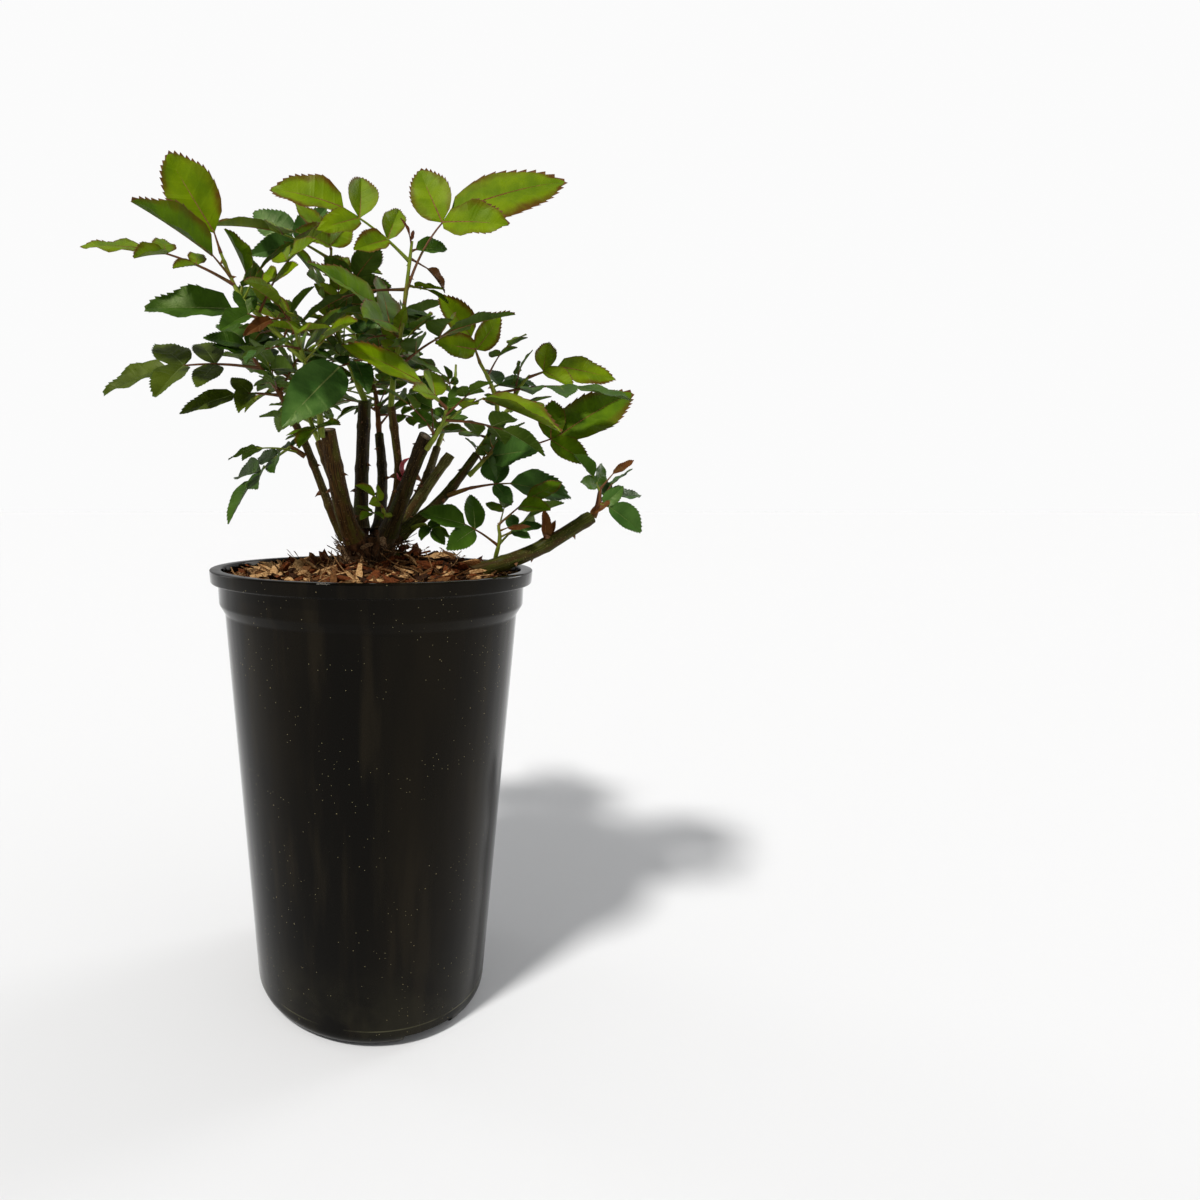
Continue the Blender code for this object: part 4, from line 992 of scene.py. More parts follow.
# A stem starts at a share of its cane, or of the first stem. A leaf has its tone, if one is
# set, its place on the stem, its heading and rise in degrees, its reach and its end
# leaflet's length in millimetres, its number of leaflets, its roll, and how far it bows up.
SHOOTS = {
    "foliage_upper_left": Shoot("cane_left_thick", 0.97, 2.2 * MM, heading=-120, seed=3, fine=3, stems=[
        Stem(0, [(-30, -42, 369), (-38, -44, 392), (-44, -50, 411)], more=1, leaves=[
            Leaf("sunlit", 0.92, -125, 25, 38, 24, 3, -40),
            Leaf("sunlit", 0.74, -85, -3, 52, 20, 3, 0),
            Leaf("bronze", 0.98, -146, -22, 30, 19, 1, -60),
            Leaf("sunlit", 0.62, -50, 20, 46, 24, 3, 40),
            Leaf("leaf", 0.06, -112, -22, 28, 21, 3, 8)]),
        Stem(0.62, [(-61, -36, 413), (-75, -30, 428), (-86, -28, 453)], more=1, leaves=[
            Leaf("sunlit", 0.97, -174, 60, 61, 50, 1, -85),
            Leaf("leaf", 0.80, -149, 33, 62, 48, 1, -55),
            Leaf("sunlit", 0.74, -177, 15, 88, 38, 5, -35, pairs=0.6),
            Leaf("deep", 0.40, -172, 6, 66, 48, 3, -50, pairs=0.5),
            Leaf("leaf", 0.62, -29, 44, 43, 27, 3, 30),
            Leaf("", 0.66, 85, 40, 58, 29, 3, 60)])]),
    "foliage_left": Shoot("cane_left_thin", 1, 1.8 * MM, seed=5, stems=[
        Stem(0, [(-57, -12, 379), (-65, -10, 389), (-72, -8, 398)], more=2, leaves=[
            Leaf("olive", 0.75, -171, -8, 94, 40, 5, -38),
            Leaf("olive", 0.22, -164, -10, 60, 34, 3, -40, pairs=0.6),
            Leaf("", 0.40, -98, 29, 43, 25, 3, -30),
            Leaf("deep", 0.96, 134, 40, 46, 29, 5, -20)])]),
    "foliage_low_left": Shoot("cane_left_thin", 0.72, 1.4 * MM, heading=180, seed=7, stems=[
        Stem(0, [(-46, -14, 342), (-49, -15, 344)], leaves=[
            Leaf("deep", 0.90, -168, -49, 60, 30, 5, -16),
            Leaf("", 0.50, 120, 5, 30, 18, 3, -30)])]),
    "foliage_middle": Shoot("cane_middle", 1, 2.2 * MM, seed=9, fine=8, stems=[
        Stem(0, [(-13, 22, 397), (-20, 23, 414), (-25, 20, 446), (-25, 20, 469)], more=5, leaves=[
            Leaf("sunlit", 1.00, -165, 56, 35, 30, 3, -60),
            Leaf("blue", 0.66, 155, 50, 92, 37, 3, -60),
            Leaf("leaf", 0.47, -141, 54, 63, 24, 5, -50),
            Leaf("", 0.79, 44, 29, 49, 27, 3, 30),
            Leaf("", 0.30, -129, -18, 44, 24, 3, -20)])]),
    "foliage_centre": Shoot("cane_centre", 1, 2.0 * MM, seed=11, fine=8, stems=[
        Stem(0, [(13, -26, 381), (16, -28, 400), (19, -31, 421), (23, -34, 455)], more=2, leaves=[
            Leaf("sunlit", 0.88, -179, 30, 88, 42, 5, -60, pairs=0.7),
            Leaf("sunlit", 0.70, -2, 38, 109, 64, 3, 62, 0.17, 0.62, 0.10, -8),
            Leaf("bronze", 0.98, -128, 56, 15, 10, 3, -40),
            Leaf("deep", 0.94, 18, 12, 24, 21, 1, 60),
            Leaf("bronze", 0.90, 40, -20, 34, 20, 1, 70),
            Leaf("leaf", 0.42, -147, 31, 66, 46, 3, -50),
            Leaf("", 0.53, 82, 17, 55, 30, 5, 30),
            Leaf("leaf", 0.30, 62, 4, 47, 31, 3, 40),
            Leaf("blue", 0.28, -135, -26, 91, 48, 3, -50, 0.12, 0.5)])]),
    "foliage_cut_right": Shoot("cane_cut_right", 0.94, 1.6 * MM, heading=-62, seed=13, stems=[
        Stem(0, [(39, -50, 352), (42, -52, 362)], more=1, leaves=[
            Leaf("sunlit", 0.95, -167, 32, 66, 47, 3, -38, pairs=0.52),
            Leaf("sunlit", 0.50, -12, 0, 66, 43, 3, 14, 0.26, 0.4),
            Leaf("blue", 0.80, 2, 26, 54, 38, 3, 50, pairs=0.5)])]),
    "foliage_right": Shoot("cane_right", 1, 2.0 * MM, seed=15, fine=2, stems=[
        Stem(0, [(78, 0, 359), (86, 0, 369), (92, 0, 381), (98, 0, 388)], leaves=[
            Leaf("sunlit", 0.97, -2, 2, 54, 36, 3, 55, 0.12, 0.62),
            Leaf("", 0.20, 172, 8, 36, 24, 3, -20)]),
        Stem(0.40, [(78, 2, 373), (74, 4, 385), (67, 5, 398)], more=1, leaves=[
            Leaf("sunlit", 0.95, -168, 54, 48, 32, 3, -85),
            Leaf("blue", 0.54, 28, 9, 36, 26, 3, 30)])]),
    "foliage_right_low": Shoot("cane_right", 0.86, 1.6 * MM, heading=-30, seed=17, stems=[
        Stem(0, [(72, -6, 338), (78, -8, 343)], leaves=[
            Leaf("leaf", 0.90, -2, 30, 94, 55, 3, 64, -0.10, 0.50, 0.08, -22),
            Leaf("blue", 0.50, -56, 6, 44, 37, 3, 70, pairs=0.6)])]),
    "foliage_low_right": Shoot("cane_right", 0.66, 1.5 * MM, heading=-60, seed=19, stems=[
        Stem(0, [(58, -8, 318), (61, -11, 319)], leaves=[
            Leaf("blue", 0.95, -5, -3, 62, 38, 3, 50, pairs=0.5)])]),
    "foliage_branch_middle": Shoot("branch_low_right", 0.56, 1.3 * MM, heading=90, seed=21, stems=[
        Stem(0, [(76, -29, 288), (75, -29, 297)], leaves=[
            Leaf("deep", 0.50, 178, 24, 50, 27, 3, -55),
            Leaf("leaf", 1.00, 4, 36, 46, 24, 3, 30, 0.04),
            Leaf("bronze", 0.85, -40, 10, 20, 14, 1, 40),
            Leaf("blue", 0.70, -12, 14, 27, 15, 3, 40),
            Leaf("leaf", 0.90, 67, 35, 33, 15, 3, 10)])]),
    "foliage_branch_end": Shoot("branch_low_right", 1, 1.6 * MM, seed=23, stems=[
        Stem(0, [(133, -30, 309), (134, -30, 318)], leaves=[
            Leaf("blue", 0.45, -25, -30, 29, 23, 3, 60, pairs=0.7),
            Leaf("deep", 0.90, -168, 52, 27, 18, 3, -60),
            Leaf("blue", 0.60, 20, 8, 34, 24, 3, 35, pairs=0.8),
            Leaf("bronze", 1.00, 0, 42, 26, 15, 1, 50)])]),
    "sprout_front": Shoot("cane_cut_right", 0.36, 1.2 * MM, heading=-130, seed=25, fine=1, stems=[
        Stem(0, [(8, -26, 303), (7, -29, 307)], leaves=[
            Leaf("sunlit", 1.00, -150, 40, 22, 14, 3, -50),
            Leaf("leaf", 0.60, -110, 0, 28, 12, 3, -20)])]),
    "sprout_right": Shoot("cane_right", 0.32, 1.2 * MM, heading=-60, seed=27, fine=1, stems=[
        Stem(0, [(30, -8, 296), (33, -11, 297)], leaves=[
            Leaf("deep", 1.00, -55, -32, 21, 13, 5, 40),
            Leaf("leaf", 0.50, -10, -20, 20, 12, 3, 40)])]),
    "foliage_back_left": Shoot("cane_back_left", 1, 2.0 * MM, heading=110, seed=31, fine=12, stems=[
        Stem(0, [(-46, 68, 376), (-54, 80, 404), (-58, 88, 430)], more=8)],
        room=((-135, -5), (20, 150), (310, 476))),
    "foliage_back": Shoot("cane_back", 1, 2.2 * MM, heading=90, seed=33, fine=12, stems=[
        Stem(0, [(4, 72, 384), (-1, 82, 412), (-4, 88, 440)], more=8)],
        room=((-55, 55), (28, 160), (315, 480))),
    "foliage_back_right": Shoot("cane_back_right", 1, 1.9 * MM, heading=60, seed=35, fine=4, stems=[
        Stem(0, [(54, 64, 368), (60, 74, 390), (62, 82, 410)], more=5)],
        room=((0, 80), (15, 150), (300, 405))),
}


def direction(heading, rise):
    turn, lift = math.radians(heading), math.radians(rise)
    return Vector((math.cos(turn) * math.cos(lift), math.sin(turn) * math.cos(lift), math.sin(lift)))


def make_blade(root, along, up, length):
    return Blade(root, along, (up - along * up.dot(along)).normalized(), length)


def grow_leaf(base, leaf):
    """The midline and the blades of one compound leaf that grows from base."""
    along = direction(leaf.heading, leaf.rise)
    lift = (UP - along * along.z).normalized()
    up = Quaternion(along, math.radians(leaf.roll)) @ lift
    reach, size = leaf.reach * MM, leaf.size * MM
    stalk = max(reach - size, SHORTEST_STALK)

    def midline(distance):
        share = distance / reach
        return base + along * distance + lift * (4 * leaf.bow * reach * share * (1 - share))

    end = midline(stalk)
    tip = midline(reach) - end
    end_up = Quaternion(tip.normalized(), math.radians(leaf.turn)) @ up
    blades = [make_blade(end, tip.normalized(), end_up, tip.length)]
    for pair in range((leaf.leaflets - 1) // 2):
        back = size * (leaf.back + PAIR_SPACING * pair)
        on_stalk = max(stalk - back, stalk * (PAIR_FOOT - PAIR_FOOT_STEP * pair))
        length = size * (leaf.pairs - PAIR_SHRINK * pair)
        spread = math.radians(PAIR_SPREAD + PAIR_SPREAD_STEP * pair)
        forward = (midline(on_stalk + 1 * MM) - midline(on_stalk)).normalized()
        side = up.cross(forward).normalized()
        for hand in (-1, 1):
            outward = forward * math.cos(spread) + side * hand * math.sin(spread) + up * PAIR_LIFT
            blades.append(make_blade(midline(on_stalk), outward.normalized(), up, length))
    steps = max(1, math.ceil(stalk / PETIOLE_STEP))
    return Spray([midline((stalk + 1 * MM) * k / steps) for k in range(steps + 1)], blades, leaf.tone)


def blade_half(share):
    """Half the blade's width, as a share of its widest, along its length."""
    outline = ((0.0, 0.0), *BLADE_RINGS, (1.0, 0.0))
    for (start, low), (end, high) in zip(outline, outline[1:]):
        if share <= end:
            return low + (high - low) * (share - start) / (end - start)
    return 0.0


def blade_point(blade, share, across):
    """A point of the blade's middle surface; across runs from -1 to 1 at its edges."""
    half = blade_half(share) * blade.length * BLADE_WIDTH / 2
    side = blade.normal.cross(blade.along)
    lift = BLADE_FOLD * abs(across) * half - BLADE_DROOP * blade.length * share * share
    return blade.root + blade.along * blade.length * share + side * across * half + blade.normal * lift


def cell_of(point):
    return tuple(math.floor(c / CLEARANCE) for c in point)


class Room:
    """The points that limbs, stems and leaves already take, in a grid of cells."""

    def __init__(self):
        self.cells = {}

    def take(self, points, owner):
        for point in points:
            self.cells.setdefault(cell_of(point), []).append((point, owner))

    def is_free(self, points, clashes, clearance):
        for point in points:
            for cell in product(*((c - 1, c, c + 1) for c in cell_of(point))):
                for other, owner in self.cells.get(cell, ()):
                    if clashes(owner) and (other - point).length < clearance:
                        return False
        return True


def blade_test_points(blade):
    rows = max(3, math.ceil(blade.length / PITCH))
    points = []
    for i in range(2, rows + 1):
        half = blade_half(i / rows) * blade.length * BLADE_WIDTH / 2
        columns = max(1, math.ceil(half / PITCH))
        for j in range(-columns, columns + 1):
            points.append(blade_point(blade, i / rows, j / columns))
    return points


def line_test_points(curve, start=0.0):
    length = lengths_along(curve)[-1]
    count = max(1, math.ceil((length - start) / PITCH))
    return [point_along(curve, start + (length - start) * k / count)[0] for k in range(count + 1)]


def skin_test_points(curve, length, radius):
    points = []
    count = max(1, math.ceil(length / PITCH))
    for k in range(count + 1):
        point, along = point_along(curve, length * k / count)
        out = along.orthogonal().normalized()
        for turn in range(0, 360, 45):
            points.append(point + Quaternion(along, math.radians(turn)) @ out * radius)
    return points


def in_room(points, room):
    if room is None:
        return True
    return all(low * MM <= c <= high * MM for p in points for c, (low, high) in zip(p, room))


def shoot_start(shoot, target):
    """Where a shoot leaves its cane, at the bark, on the way to its first point."""
    cane = CANES[shoot.cane]
    curve, length = cane_line(cane)
    surface, outward = point_along(curve, length * shoot.at)
    if shoot.at < 1:
        along, outward = outward, direction(shoot.heading, 0)
        outward = (outward - along * outward.dot(along)).normalized()
        surface += outward * (cane.radius + (cane.tip_radius - cane.radius) * shoot.at)
    tilt = (target - surface).normalized().angle(outward)
    return surface + outward * (1.5 * GAP + shoot.radius * math.sin(tilt))


def stem_curves(shoot):
    curves = []
    for stem in shoot.stems:
        points = [place(*point) for point in stem.route]
        if curves:
            start = point_along(curves[0], lengths_along(curves[0])[-1] * stem.at)[0]
        else:
            start = shoot_start(shoot, points[0])
        curves.append(smooth_route([start, *points], STEM_STEP))
    return curves


def leaf_by_rule(dice, number, count):
    size = dice.uniform(26, 36)
    return Leaf(
        tone="",
        at=(number + dice.uniform(0.35, 0.75)) / count,
        heading=GOLDEN_ANGLE * number + dice.uniform(-25, 25),
        rise=dice.uniform(-5, 40),
        reach=size * dice.uniform(1.9, 2.5),
        size=size,
        leaflets=5,
        roll=dice.uniform(-25, 25),
    )


def fit_leaf(name, curve, leaf, number, dice, swing, clearance, limits):
    """The first varied leaf whose blades all find room, or the fullest one that has any."""
    best = None
    length = lengths_along(curve)[-1]
    for attempt in range(LEAF_TRIES):
        reach = attempt * swing
        heading = leaf.heading + dice.uniform(-reach, reach)
        trial = leaf._replace(heading=heading, rise=leaf.rise + dice.uniform(-reach, reach) / 2)
        spray = grow_leaf(point_along(curve, length * min(trial.at, 1))[0], trial)
        stalk = line_test_points(spray.midline, PETIOLE_FREE_LENGTH)
        if not room.is_free(stalk, lambda owner: owner[0] != name, clearance):
            continue
        blades = []
        for blade in spray.blades:
            points = blade_test_points(blade)
            if in_room(points, limits) and room.is_free(
                    points, lambda owner: owner[0] != name or owner[1] not in (0, number), clearance):
                blades.append(blade)
        if spray.blades[0] in blades and (best is None or len(blades) > len(best.blades)):
            best = Spray(spray.midline, blades, leaf.tone)
        if best and len(best.blades) == leaf.leaflets:
            break
    return best


def add_leaf(name, curve, leaf, dice, swing, clearance, limits):
    """Grow one leaf where it finds room; its blades then take that room."""
    sprays = plans[name][1]
    number = len(sprays) + 1
    spray = fit_leaf(name, curve, leaf, number, dice, swing, clearance, limits)
    if spray:
        sprays.append(spray)
        for blade in spray.blades:
            room.take(blade_test_points(blade), (name, number))
    return spray


def grow_leaves(by_rule):
    for name, shoot in SHOOTS.items():
        dice = random.Random(shoot.seed + 100 * by_rule)
        for stem, curve in zip(shoot.stems, plans[name][0]):
            leaves = stem.leaves
            if by_rule:
                leaves = [leaf_by_rule(dice, k, stem.more) for k in range(stem.more)]
            for leaf in leaves:
                swing = RULE_SWING if by_rule else SET_SWING
                spray = add_leaf(name, curve, leaf, dice, swing, CLEARANCE, shoot.room)
                if spray:
                    room.take(line_test_points(spray.midline, PETIOLE_FREE_LENGTH), (name, 0))


# The plan: each shoot's stems and the sprays of leaflets that find room on them
room = Room()
for name, cane in CANES.items():
    room.take(skin_test_points(*cane_line(cane), cane.radius), (name, 0))
plans = {name: (stem_curves(shoot), []) for name, shoot in SHOOTS.items()}
for name, (curves, _) in plans.items():
    for curve in curves:
        room.take(line_test_points(curve, PETIOLE_FREE_LENGTH), (name, 0))
grow_leaves(by_rule=False)
grow_leaves(by_rule=True)

# Finer growth: small leaves from the side buds, which fill in behind the large ones. They
# grow by the same rule in the room that is left, and stay inside their shoot's reach.

FINE_CLEARANCE = 3.0 * MM
FINE_SWING = 9.0
FINE_MARGIN = 1.5


def fine_leaf_by_rule(dice, number):
    size = dice.uniform(11, 22)
    return Leaf(
        tone="",
        at=dice.uniform(0.1, 0.8),
        heading=GOLDEN_ANGLE * number + dice.uniform(-40, 40),
        rise=dice.uniform(-20, 60),
        reach=size * dice.uniform(1.7, 2.8),
        size=size,
        leaflets=dice.choice((3, 5, 5)),
        roll=dice.uniform(-30, 30),
    )


for name, shoot in SHOOTS.items():
    dice = random.Random(shoot.seed + 900)
    curves, sprays = plans[name]
    limits = [(a / MM - FINE_MARGIN, b / MM + FINE_MARGIN) for a, b in zip(*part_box(name))]
    for number in range(shoot.fine * len(curves)):
        leaf, curve = fine_leaf_by_rule(dice, number), curves[number % len(curves)]
        add_leaf(name, curve, leaf, dice, FINE_SWING, FINE_CLEARANCE, limits)

# Stems and leaf stalks: slender, round and pliant. The stems swell at each leaf joint; the
# stalks are thickest where they clasp the stem, and redden in the sun.

STEM_SIDES = 10
STALK_SIDES = 6
STALK_FOOT_RADIUS = 1.15 * MM
STALK_TIP_RADIUS = 0.55 * MM
STEM_JOINTS = 5
STEM_JOINT_SIZE = (0.35 * MM, 1.6 * MM)
STEM_SINK = 1.6 * MM
STALK_CLASP = 0.35 * MM
CLASP_FADE = 9
# The round stems and stalks are thinner than the plan's, so that they stay inside it
STEM_SHARE = 0.95
TIP_SHARE = 0.8
STALK_SHARE = 0.8
# A small leaf's stalk is thinner: this share of a full one, plus its end leaflet's length
# over the second value
SMALL_STALK = 0.45
STALK_GAIN = 60 * MM


def pipe(points, radii, sides):
    """A round pipe closed at both ends, as points, triangles and a UV map in metres."""
    lengths = lengths_along(points)
    turns = np.linspace(0, math.tau, sides, endpoint=False)
    rings, uvs = [np.array(points[0])[None]], [np.zeros((1, 2))]
    for (point, _, side, other), radius, distance in zip(frames_along(points, lengths), radii, lengths):
        ring = np.outer(np.cos(turns), side) + np.outer(np.sin(turns), other)
        rings.append(np.array(point) + ring * radius)
        uvs.append(np.stack([turns * radius, np.full(sides, distance)], axis=1))
    rings.append(np.array(points[-1])[None])
    uvs.append(np.zeros((1, 2)))
    faces = []
    last = 1 + len(points) * sides
    for k in range(sides):
        after = (k + 1) % sides
        faces.append((0, 1 + after, 1 + k))
        faces.append((last, last - sides + k, last - sides + after))
        for ring in range(len(points) - 1):
            a, b = 1 + ring * sides + k, 1 + ring * sides + after
            faces += [(a, b, b + sides), (a, b + sides, a + sides)]
    return np.concatenate(rings), np.array(faces), np.concatenate(uvs)


def stem_finish(name, shade, light, blush, roughness):
    finish = Finish(name, light, roughness, Specular_IOR_Level=0.15, Coat_Weight=0.03, Coat_Roughness=0.4)
    streak = finish.mottle(1.0, (1500, 160, 1), 4, "UV")
    flush = finish.patches(70, 0.5, 0.7, detail=3)
    finish.paint(shade, (finish.between(streak, 0.3, 0.7), light), (flush * 0.7, blush))
    finish.relief(streak, 0.25 * MM)
    return finish


STEM_FINISHES = {
    "green": stem_finish("soft_green_stem", (0.098, 0.142, 0.010), (0.23, 0.28, 0.026),
                         (0.17, 0.095, 0.018), 0.46),
    "red": stem_finish("ripening_red_stem", (0.075, 0.024, 0.009), (0.17, 0.068, 0.020),
                       (0.15, 0.115, 0.016), 0.48),
}
RED_STEMS = ("foliage_left", "foliage_low_left", "foliage_low_right", "foliage_branch_end", "foliage_back")
# How many of each tone's leaf stalks are red
RED_STALKS = {"sunlit": 0.75, "bronze": 1.0, "olive": 1.0, "blue": 0.35, "leaf": 0.6, "deep": 0.6, "": 0.6}


def stem_pipe(curve, foot, is_first):
    """A stem that swells at its leaf joints; a shoot's first one is sunk into its cane."""
    route = smooth_route(curve, 3 * MM)
    if is_first:
        _, along = point_along(curve, 0)
        route.insert(0, route[0] - along * STEM_SINK)
    joints = [lengths_along(curve)[-1] * (k + 0.5) / STEM_JOINTS for k in range(STEM_JOINTS)]
    radii = []
    for k, distance in enumerate(lengths_along(route)):
        share = k / (len(route) - 1)
        swell = sum(bump(distance - joint, *STEM_JOINT_SIZE) for joint in joints)
        radii.append((foot + (SHOOT_TIP_RADIUS * TIP_SHARE - foot) * share) * STEM_SHARE + swell)
    return pipe(route, radii, STEM_SIDES)


def stalk_pipe(spray):
    route = smooth_route(spray.midline, 4 * MM)
    small = min(1.0, SMALL_STALK + spray.blades[0].length / STALK_GAIN)
    radii = []
    for k in range(len(route)):
        share = k / (len(route) - 1)
        clasp = STALK_CLASP * math.exp(-share * CLASP_FADE)
        radius = STALK_FOOT_RADIUS * (1 - share) + STALK_TIP_RADIUS * share + clasp
        radii.append(radius * small * STALK_SHARE)
    return pipe(route, radii, STALK_SIDES)


stems = {tint: Heap() for tint in STEM_FINISHES}
stalks = {tint: Heap() for tint in STEM_FINISHES}
for name, (curves, sprays) in plans.items():
    dice = random.Random(SHOOTS[name].seed + 300)
    for curve in curves:
        is_first = curve is curves[0]
        foot = SHOOTS[name].radius * (1 if is_first else 0.85)
        stems["red" if name in RED_STEMS else "green"].add(*stem_pipe(curve, foot, is_first))
    for spray in sprays:
        stalks["red" if dice.random() < RED_STALKS[spray.tone] else "green"].add(*stalk_pipe(spray))
for tint, finish in STEM_FINISHES.items():
    stem_piece = piece_of(f"shoot_stems_{tint}", stems[tint].mesh(), finish)
    piece_of(f"leaf_stalks_{tint}", stalks[tint].mesh(), finish)
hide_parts(*SHOOTS)

# The young shoots' prickles, softer and redder than those of the old wood
SHOOT_PRICKLE_SPACING = 11 * MM
SHOOT_PRICKLE_SIZE = (1.6, 3.2)


def shoot_prickles():
    dice = random.Random(99)
    heap = Heap()
    for name, (curves, _) in plans.items():
        for curve in curves:
            length = lengths_along(curve)[-1]
            foot = SHOOTS[name].radius

            def radius_at(distance):
                return (foot + (SHOOT_TIP_RADIUS - foot) * distance / length) * 0.88

            add_prickles(heap, dice, curve, 3 * MM, length - 4 * MM, radius_at,
                         SHOOT_PRICKLE_SPACING, SHOOT_PRICKLE_SIZE)
    return heap.mesh()


soft_horn = grained("soft_red_prickles", (0.12, 0.045, 0.018), (0.26, 0.13, 0.045), 0.5)
piece_of("shoot_prickles", shoot_prickles(), soft_horn)

# A bud has broken low on the centre cane: a hooked, glossy crimson shoot with two scales
# at its foot, not yet unfolded. It grows straight from the bark.

BUD_ROUTE = [(19, -13, 324), (20.5, -17, 326), (18.5, -18.6, 330), (19.5, -18.6, 334), (23, -17.6, 336.5)]
BUD_RADII = (1.7, 1.8, 1.5, 1.45, 1.25, 0.35)
SCALE_ROUTES = (
    ((19, -13.5, 324), (23, -17, 324.5), (25, -18, 327)),
    ((18, -14, 324), (16.5, -18, 325), (15.6, -19.4, 327.6)),
)


def crimson_bud():
    heap = Heap()
    route = smooth_route([place(*point) for point in BUD_ROUTE], 0.9 * MM)
    radii = np.interp(np.linspace(0, 1, len(route)), np.linspace(0, 1, len(BUD_RADII)), BUD_RADII) * MM
    heap.add(*pipe(route, radii, 12))
    for points in SCALE_ROUTES:
        route = smooth_route([place(*point) for point in points], 1.0 * MM)
        heap.add(*pipe(route, np.linspace(1.3, 0.3, len(route)) * MM, 8))
    return heap.mesh()


crimson = Finish("crimson_bud_skin", (0.32, 0.018, 0.028), 0.36, Coat_Weight=0.2)
crimson.paint((0.20, 0.010, 0.016), (crimson.patches(420, 0.35, 0.65, detail=3), (0.42, 0.040, 0.050)))
crimson.relief(crimson.mottle(900), 0.2 * MM)
piece_of("crimson_bud", crimson_bud(), crimson)

# The leaflets: thin oval blades, folded along the midrib, drooping to a point and saw-
# toothed all round. New ones at the top are yellow-green with red-brown teeth, brightened as
# painted sunlight; older ones a deeper green with a waxy sheen, darkened inside the plant as
# painted shade; all are paler and duller underneath, where the top ones are brightened as painted light
# shining through.

LEAFLET_ROWS = 12
LEAFLET_WIDTH = 0.575
BRONZE_WIDTH = 0.60
TOOTH_DEPTH = 0.017
TOOTH_LEAN = 0.25
TOOTH_AHEAD = 0.012
RIPPLE = 0.011
WAVES = 15
WIDEST = 0.42
TWIST_FROM = 0.2
LEAF_THICKNESS = 0.35 * MM
VEIN_SLANT = 0.10
RIB_POINTS = 7
# The oval's exponents towards its foot and its tip, and its largest value
OVAL = (0.62, 0.88, 0.3628)


def leaflet_outline(share):
    """The leaflet's half width along its length: an oval that is widest below the middle."""
    share = np.clip(share, 0.0, 1.0)
    return share ** OVAL[0] * (1 - share) ** OVAL[1] / OVAL[2]


def open_half(share):
    """The half width to divide by, which never falls to nothing at the ends."""
    return np.maximum(leaflet_outline(share), 0.06)


def leaflet_form():
    """The flat leaflet, one unit long and wide: a toothless grid, then its teeth."""
    shape = bmesh.new()
    bmesh.ops.create_grid(shape, x_segments=4, y_segments=LEAFLET_ROWS, size=1)
    wide = max(v.co.x for v in shape.verts)
    tall = max(v.co.y for v in shape.verts)
    for vert in shape.verts:
        across, row = vert.co.x / wide, vert.co.y / tall * 0.5 + 0.5
        share = row + VEIN_SLANT * abs(across) * math.sin(math.pi * row)
        half = float(leaflet_outline(share))
        crest = 1.0 if round(row * LEAFLET_ROWS) % 2 else -1.0
        vert.co = (across * half, share, crest)
    bmesh.ops.remove_doubles(shape, verts=shape.verts, dist=1e-4)
    return shape


def form_arrays():
    shape = leaflet_form()
    margins = [
        tuple(sorted((tuple(v.co) for v in edge.verts), key=lambda co: co[1]))
        for edge in shape.edges if edge.is_boundary]
    points, faces = arrays_of(shape)
    upward = np.cross(points[faces[:, 1], :2] - points[faces[:, 0], :2],
                      points[faces[:, 2], :2] - points[faces[:, 0], :2]) > 0
    faces[~upward] = faces[~upward][:, ::-1]
    teeth = []
    for start, end in margins:
        sign = 1.0 if start[0] + end[0] > 0 else -1.0
        root = end[0] * (1 - TOOTH_LEAN) + start[0] * TOOTH_LEAN
        tip = (root + sign * TOOTH_DEPTH * 2 / LEAFLET_WIDTH, end[1] + TOOTH_AHEAD, 0.0)
        teeth += [start, end, tip] if sign > 0 else [end, start, tip]
    return points, faces, np.array(teeth), np.arange(len(teeth)).reshape(-1, 3)


BLADE_FORM, BLADE_FACES, TEETH_FORM, TEETH_FACES = form_arrays()
Look = namedtuple("Look", "width fold droop curl wave phase twist bend belly")


def leaflet_look(dice, width):
    return Look(
        width=width * dice.uniform(0.93, 1.06),
        bend=dice.uniform(-0.07, 0.07),
        belly=dice.uniform(-0.3, 0.3),
        fold=dice.uniform(0.2, 0.55),
        droop=dice.uniform(0.05, 0.17),
        curl=dice.uniform(-0.16, 0.12),
        wave=dice.uniform(0.006, 0.032),
        phase=dice.uniform(0, math.tau),
        twist=dice.uniform(-0.22, 0.22),
    )


def laid_on(blade, form, look, lower=0.0):
    """The leaflet's form bent to its look and laid on its blade's place in the plan."""
    across, share, crest = form[:, 0], form[:, 1], form[:, 2]
    half = open_half(share)
    rim = np.clip(np.abs(across) / half, 0, 1)
    reach = across * look.width * blade.length / 2 * (1 + look.belly * (WIDEST - share))
    lift = look.fold * np.abs(reach) + look.curl * blade.length * 0.5 * rim ** 2 * half
    lift += crest * RIPPLE * blade.length * rim * (1 - rim) * 4 * half
    lift += look.wave * blade.length * rim ** 2 * np.sin(share * WAVES + look.phase + np.sign(across))
    lift -= lower * (1 - rim ** 2)
    turn = look.twist * (share - TWIST_FROM)
    side_step = reach * np.cos(turn) - lift * np.sin(turn) + look.bend * blade.length * share ** 2
    rise = reach * np.sin(turn) + lift * np.cos(turn) - look.droop * blade.length * share ** 2
    side = blade.normal.cross(blade.along)
    return (np.array(blade.root) + np.outer(share * blade.length, blade.along)
            + np.outer(side_step, side) + np.outer(rise, blade.normal))


FLUSH = (0.085, 0.026, 0.002)


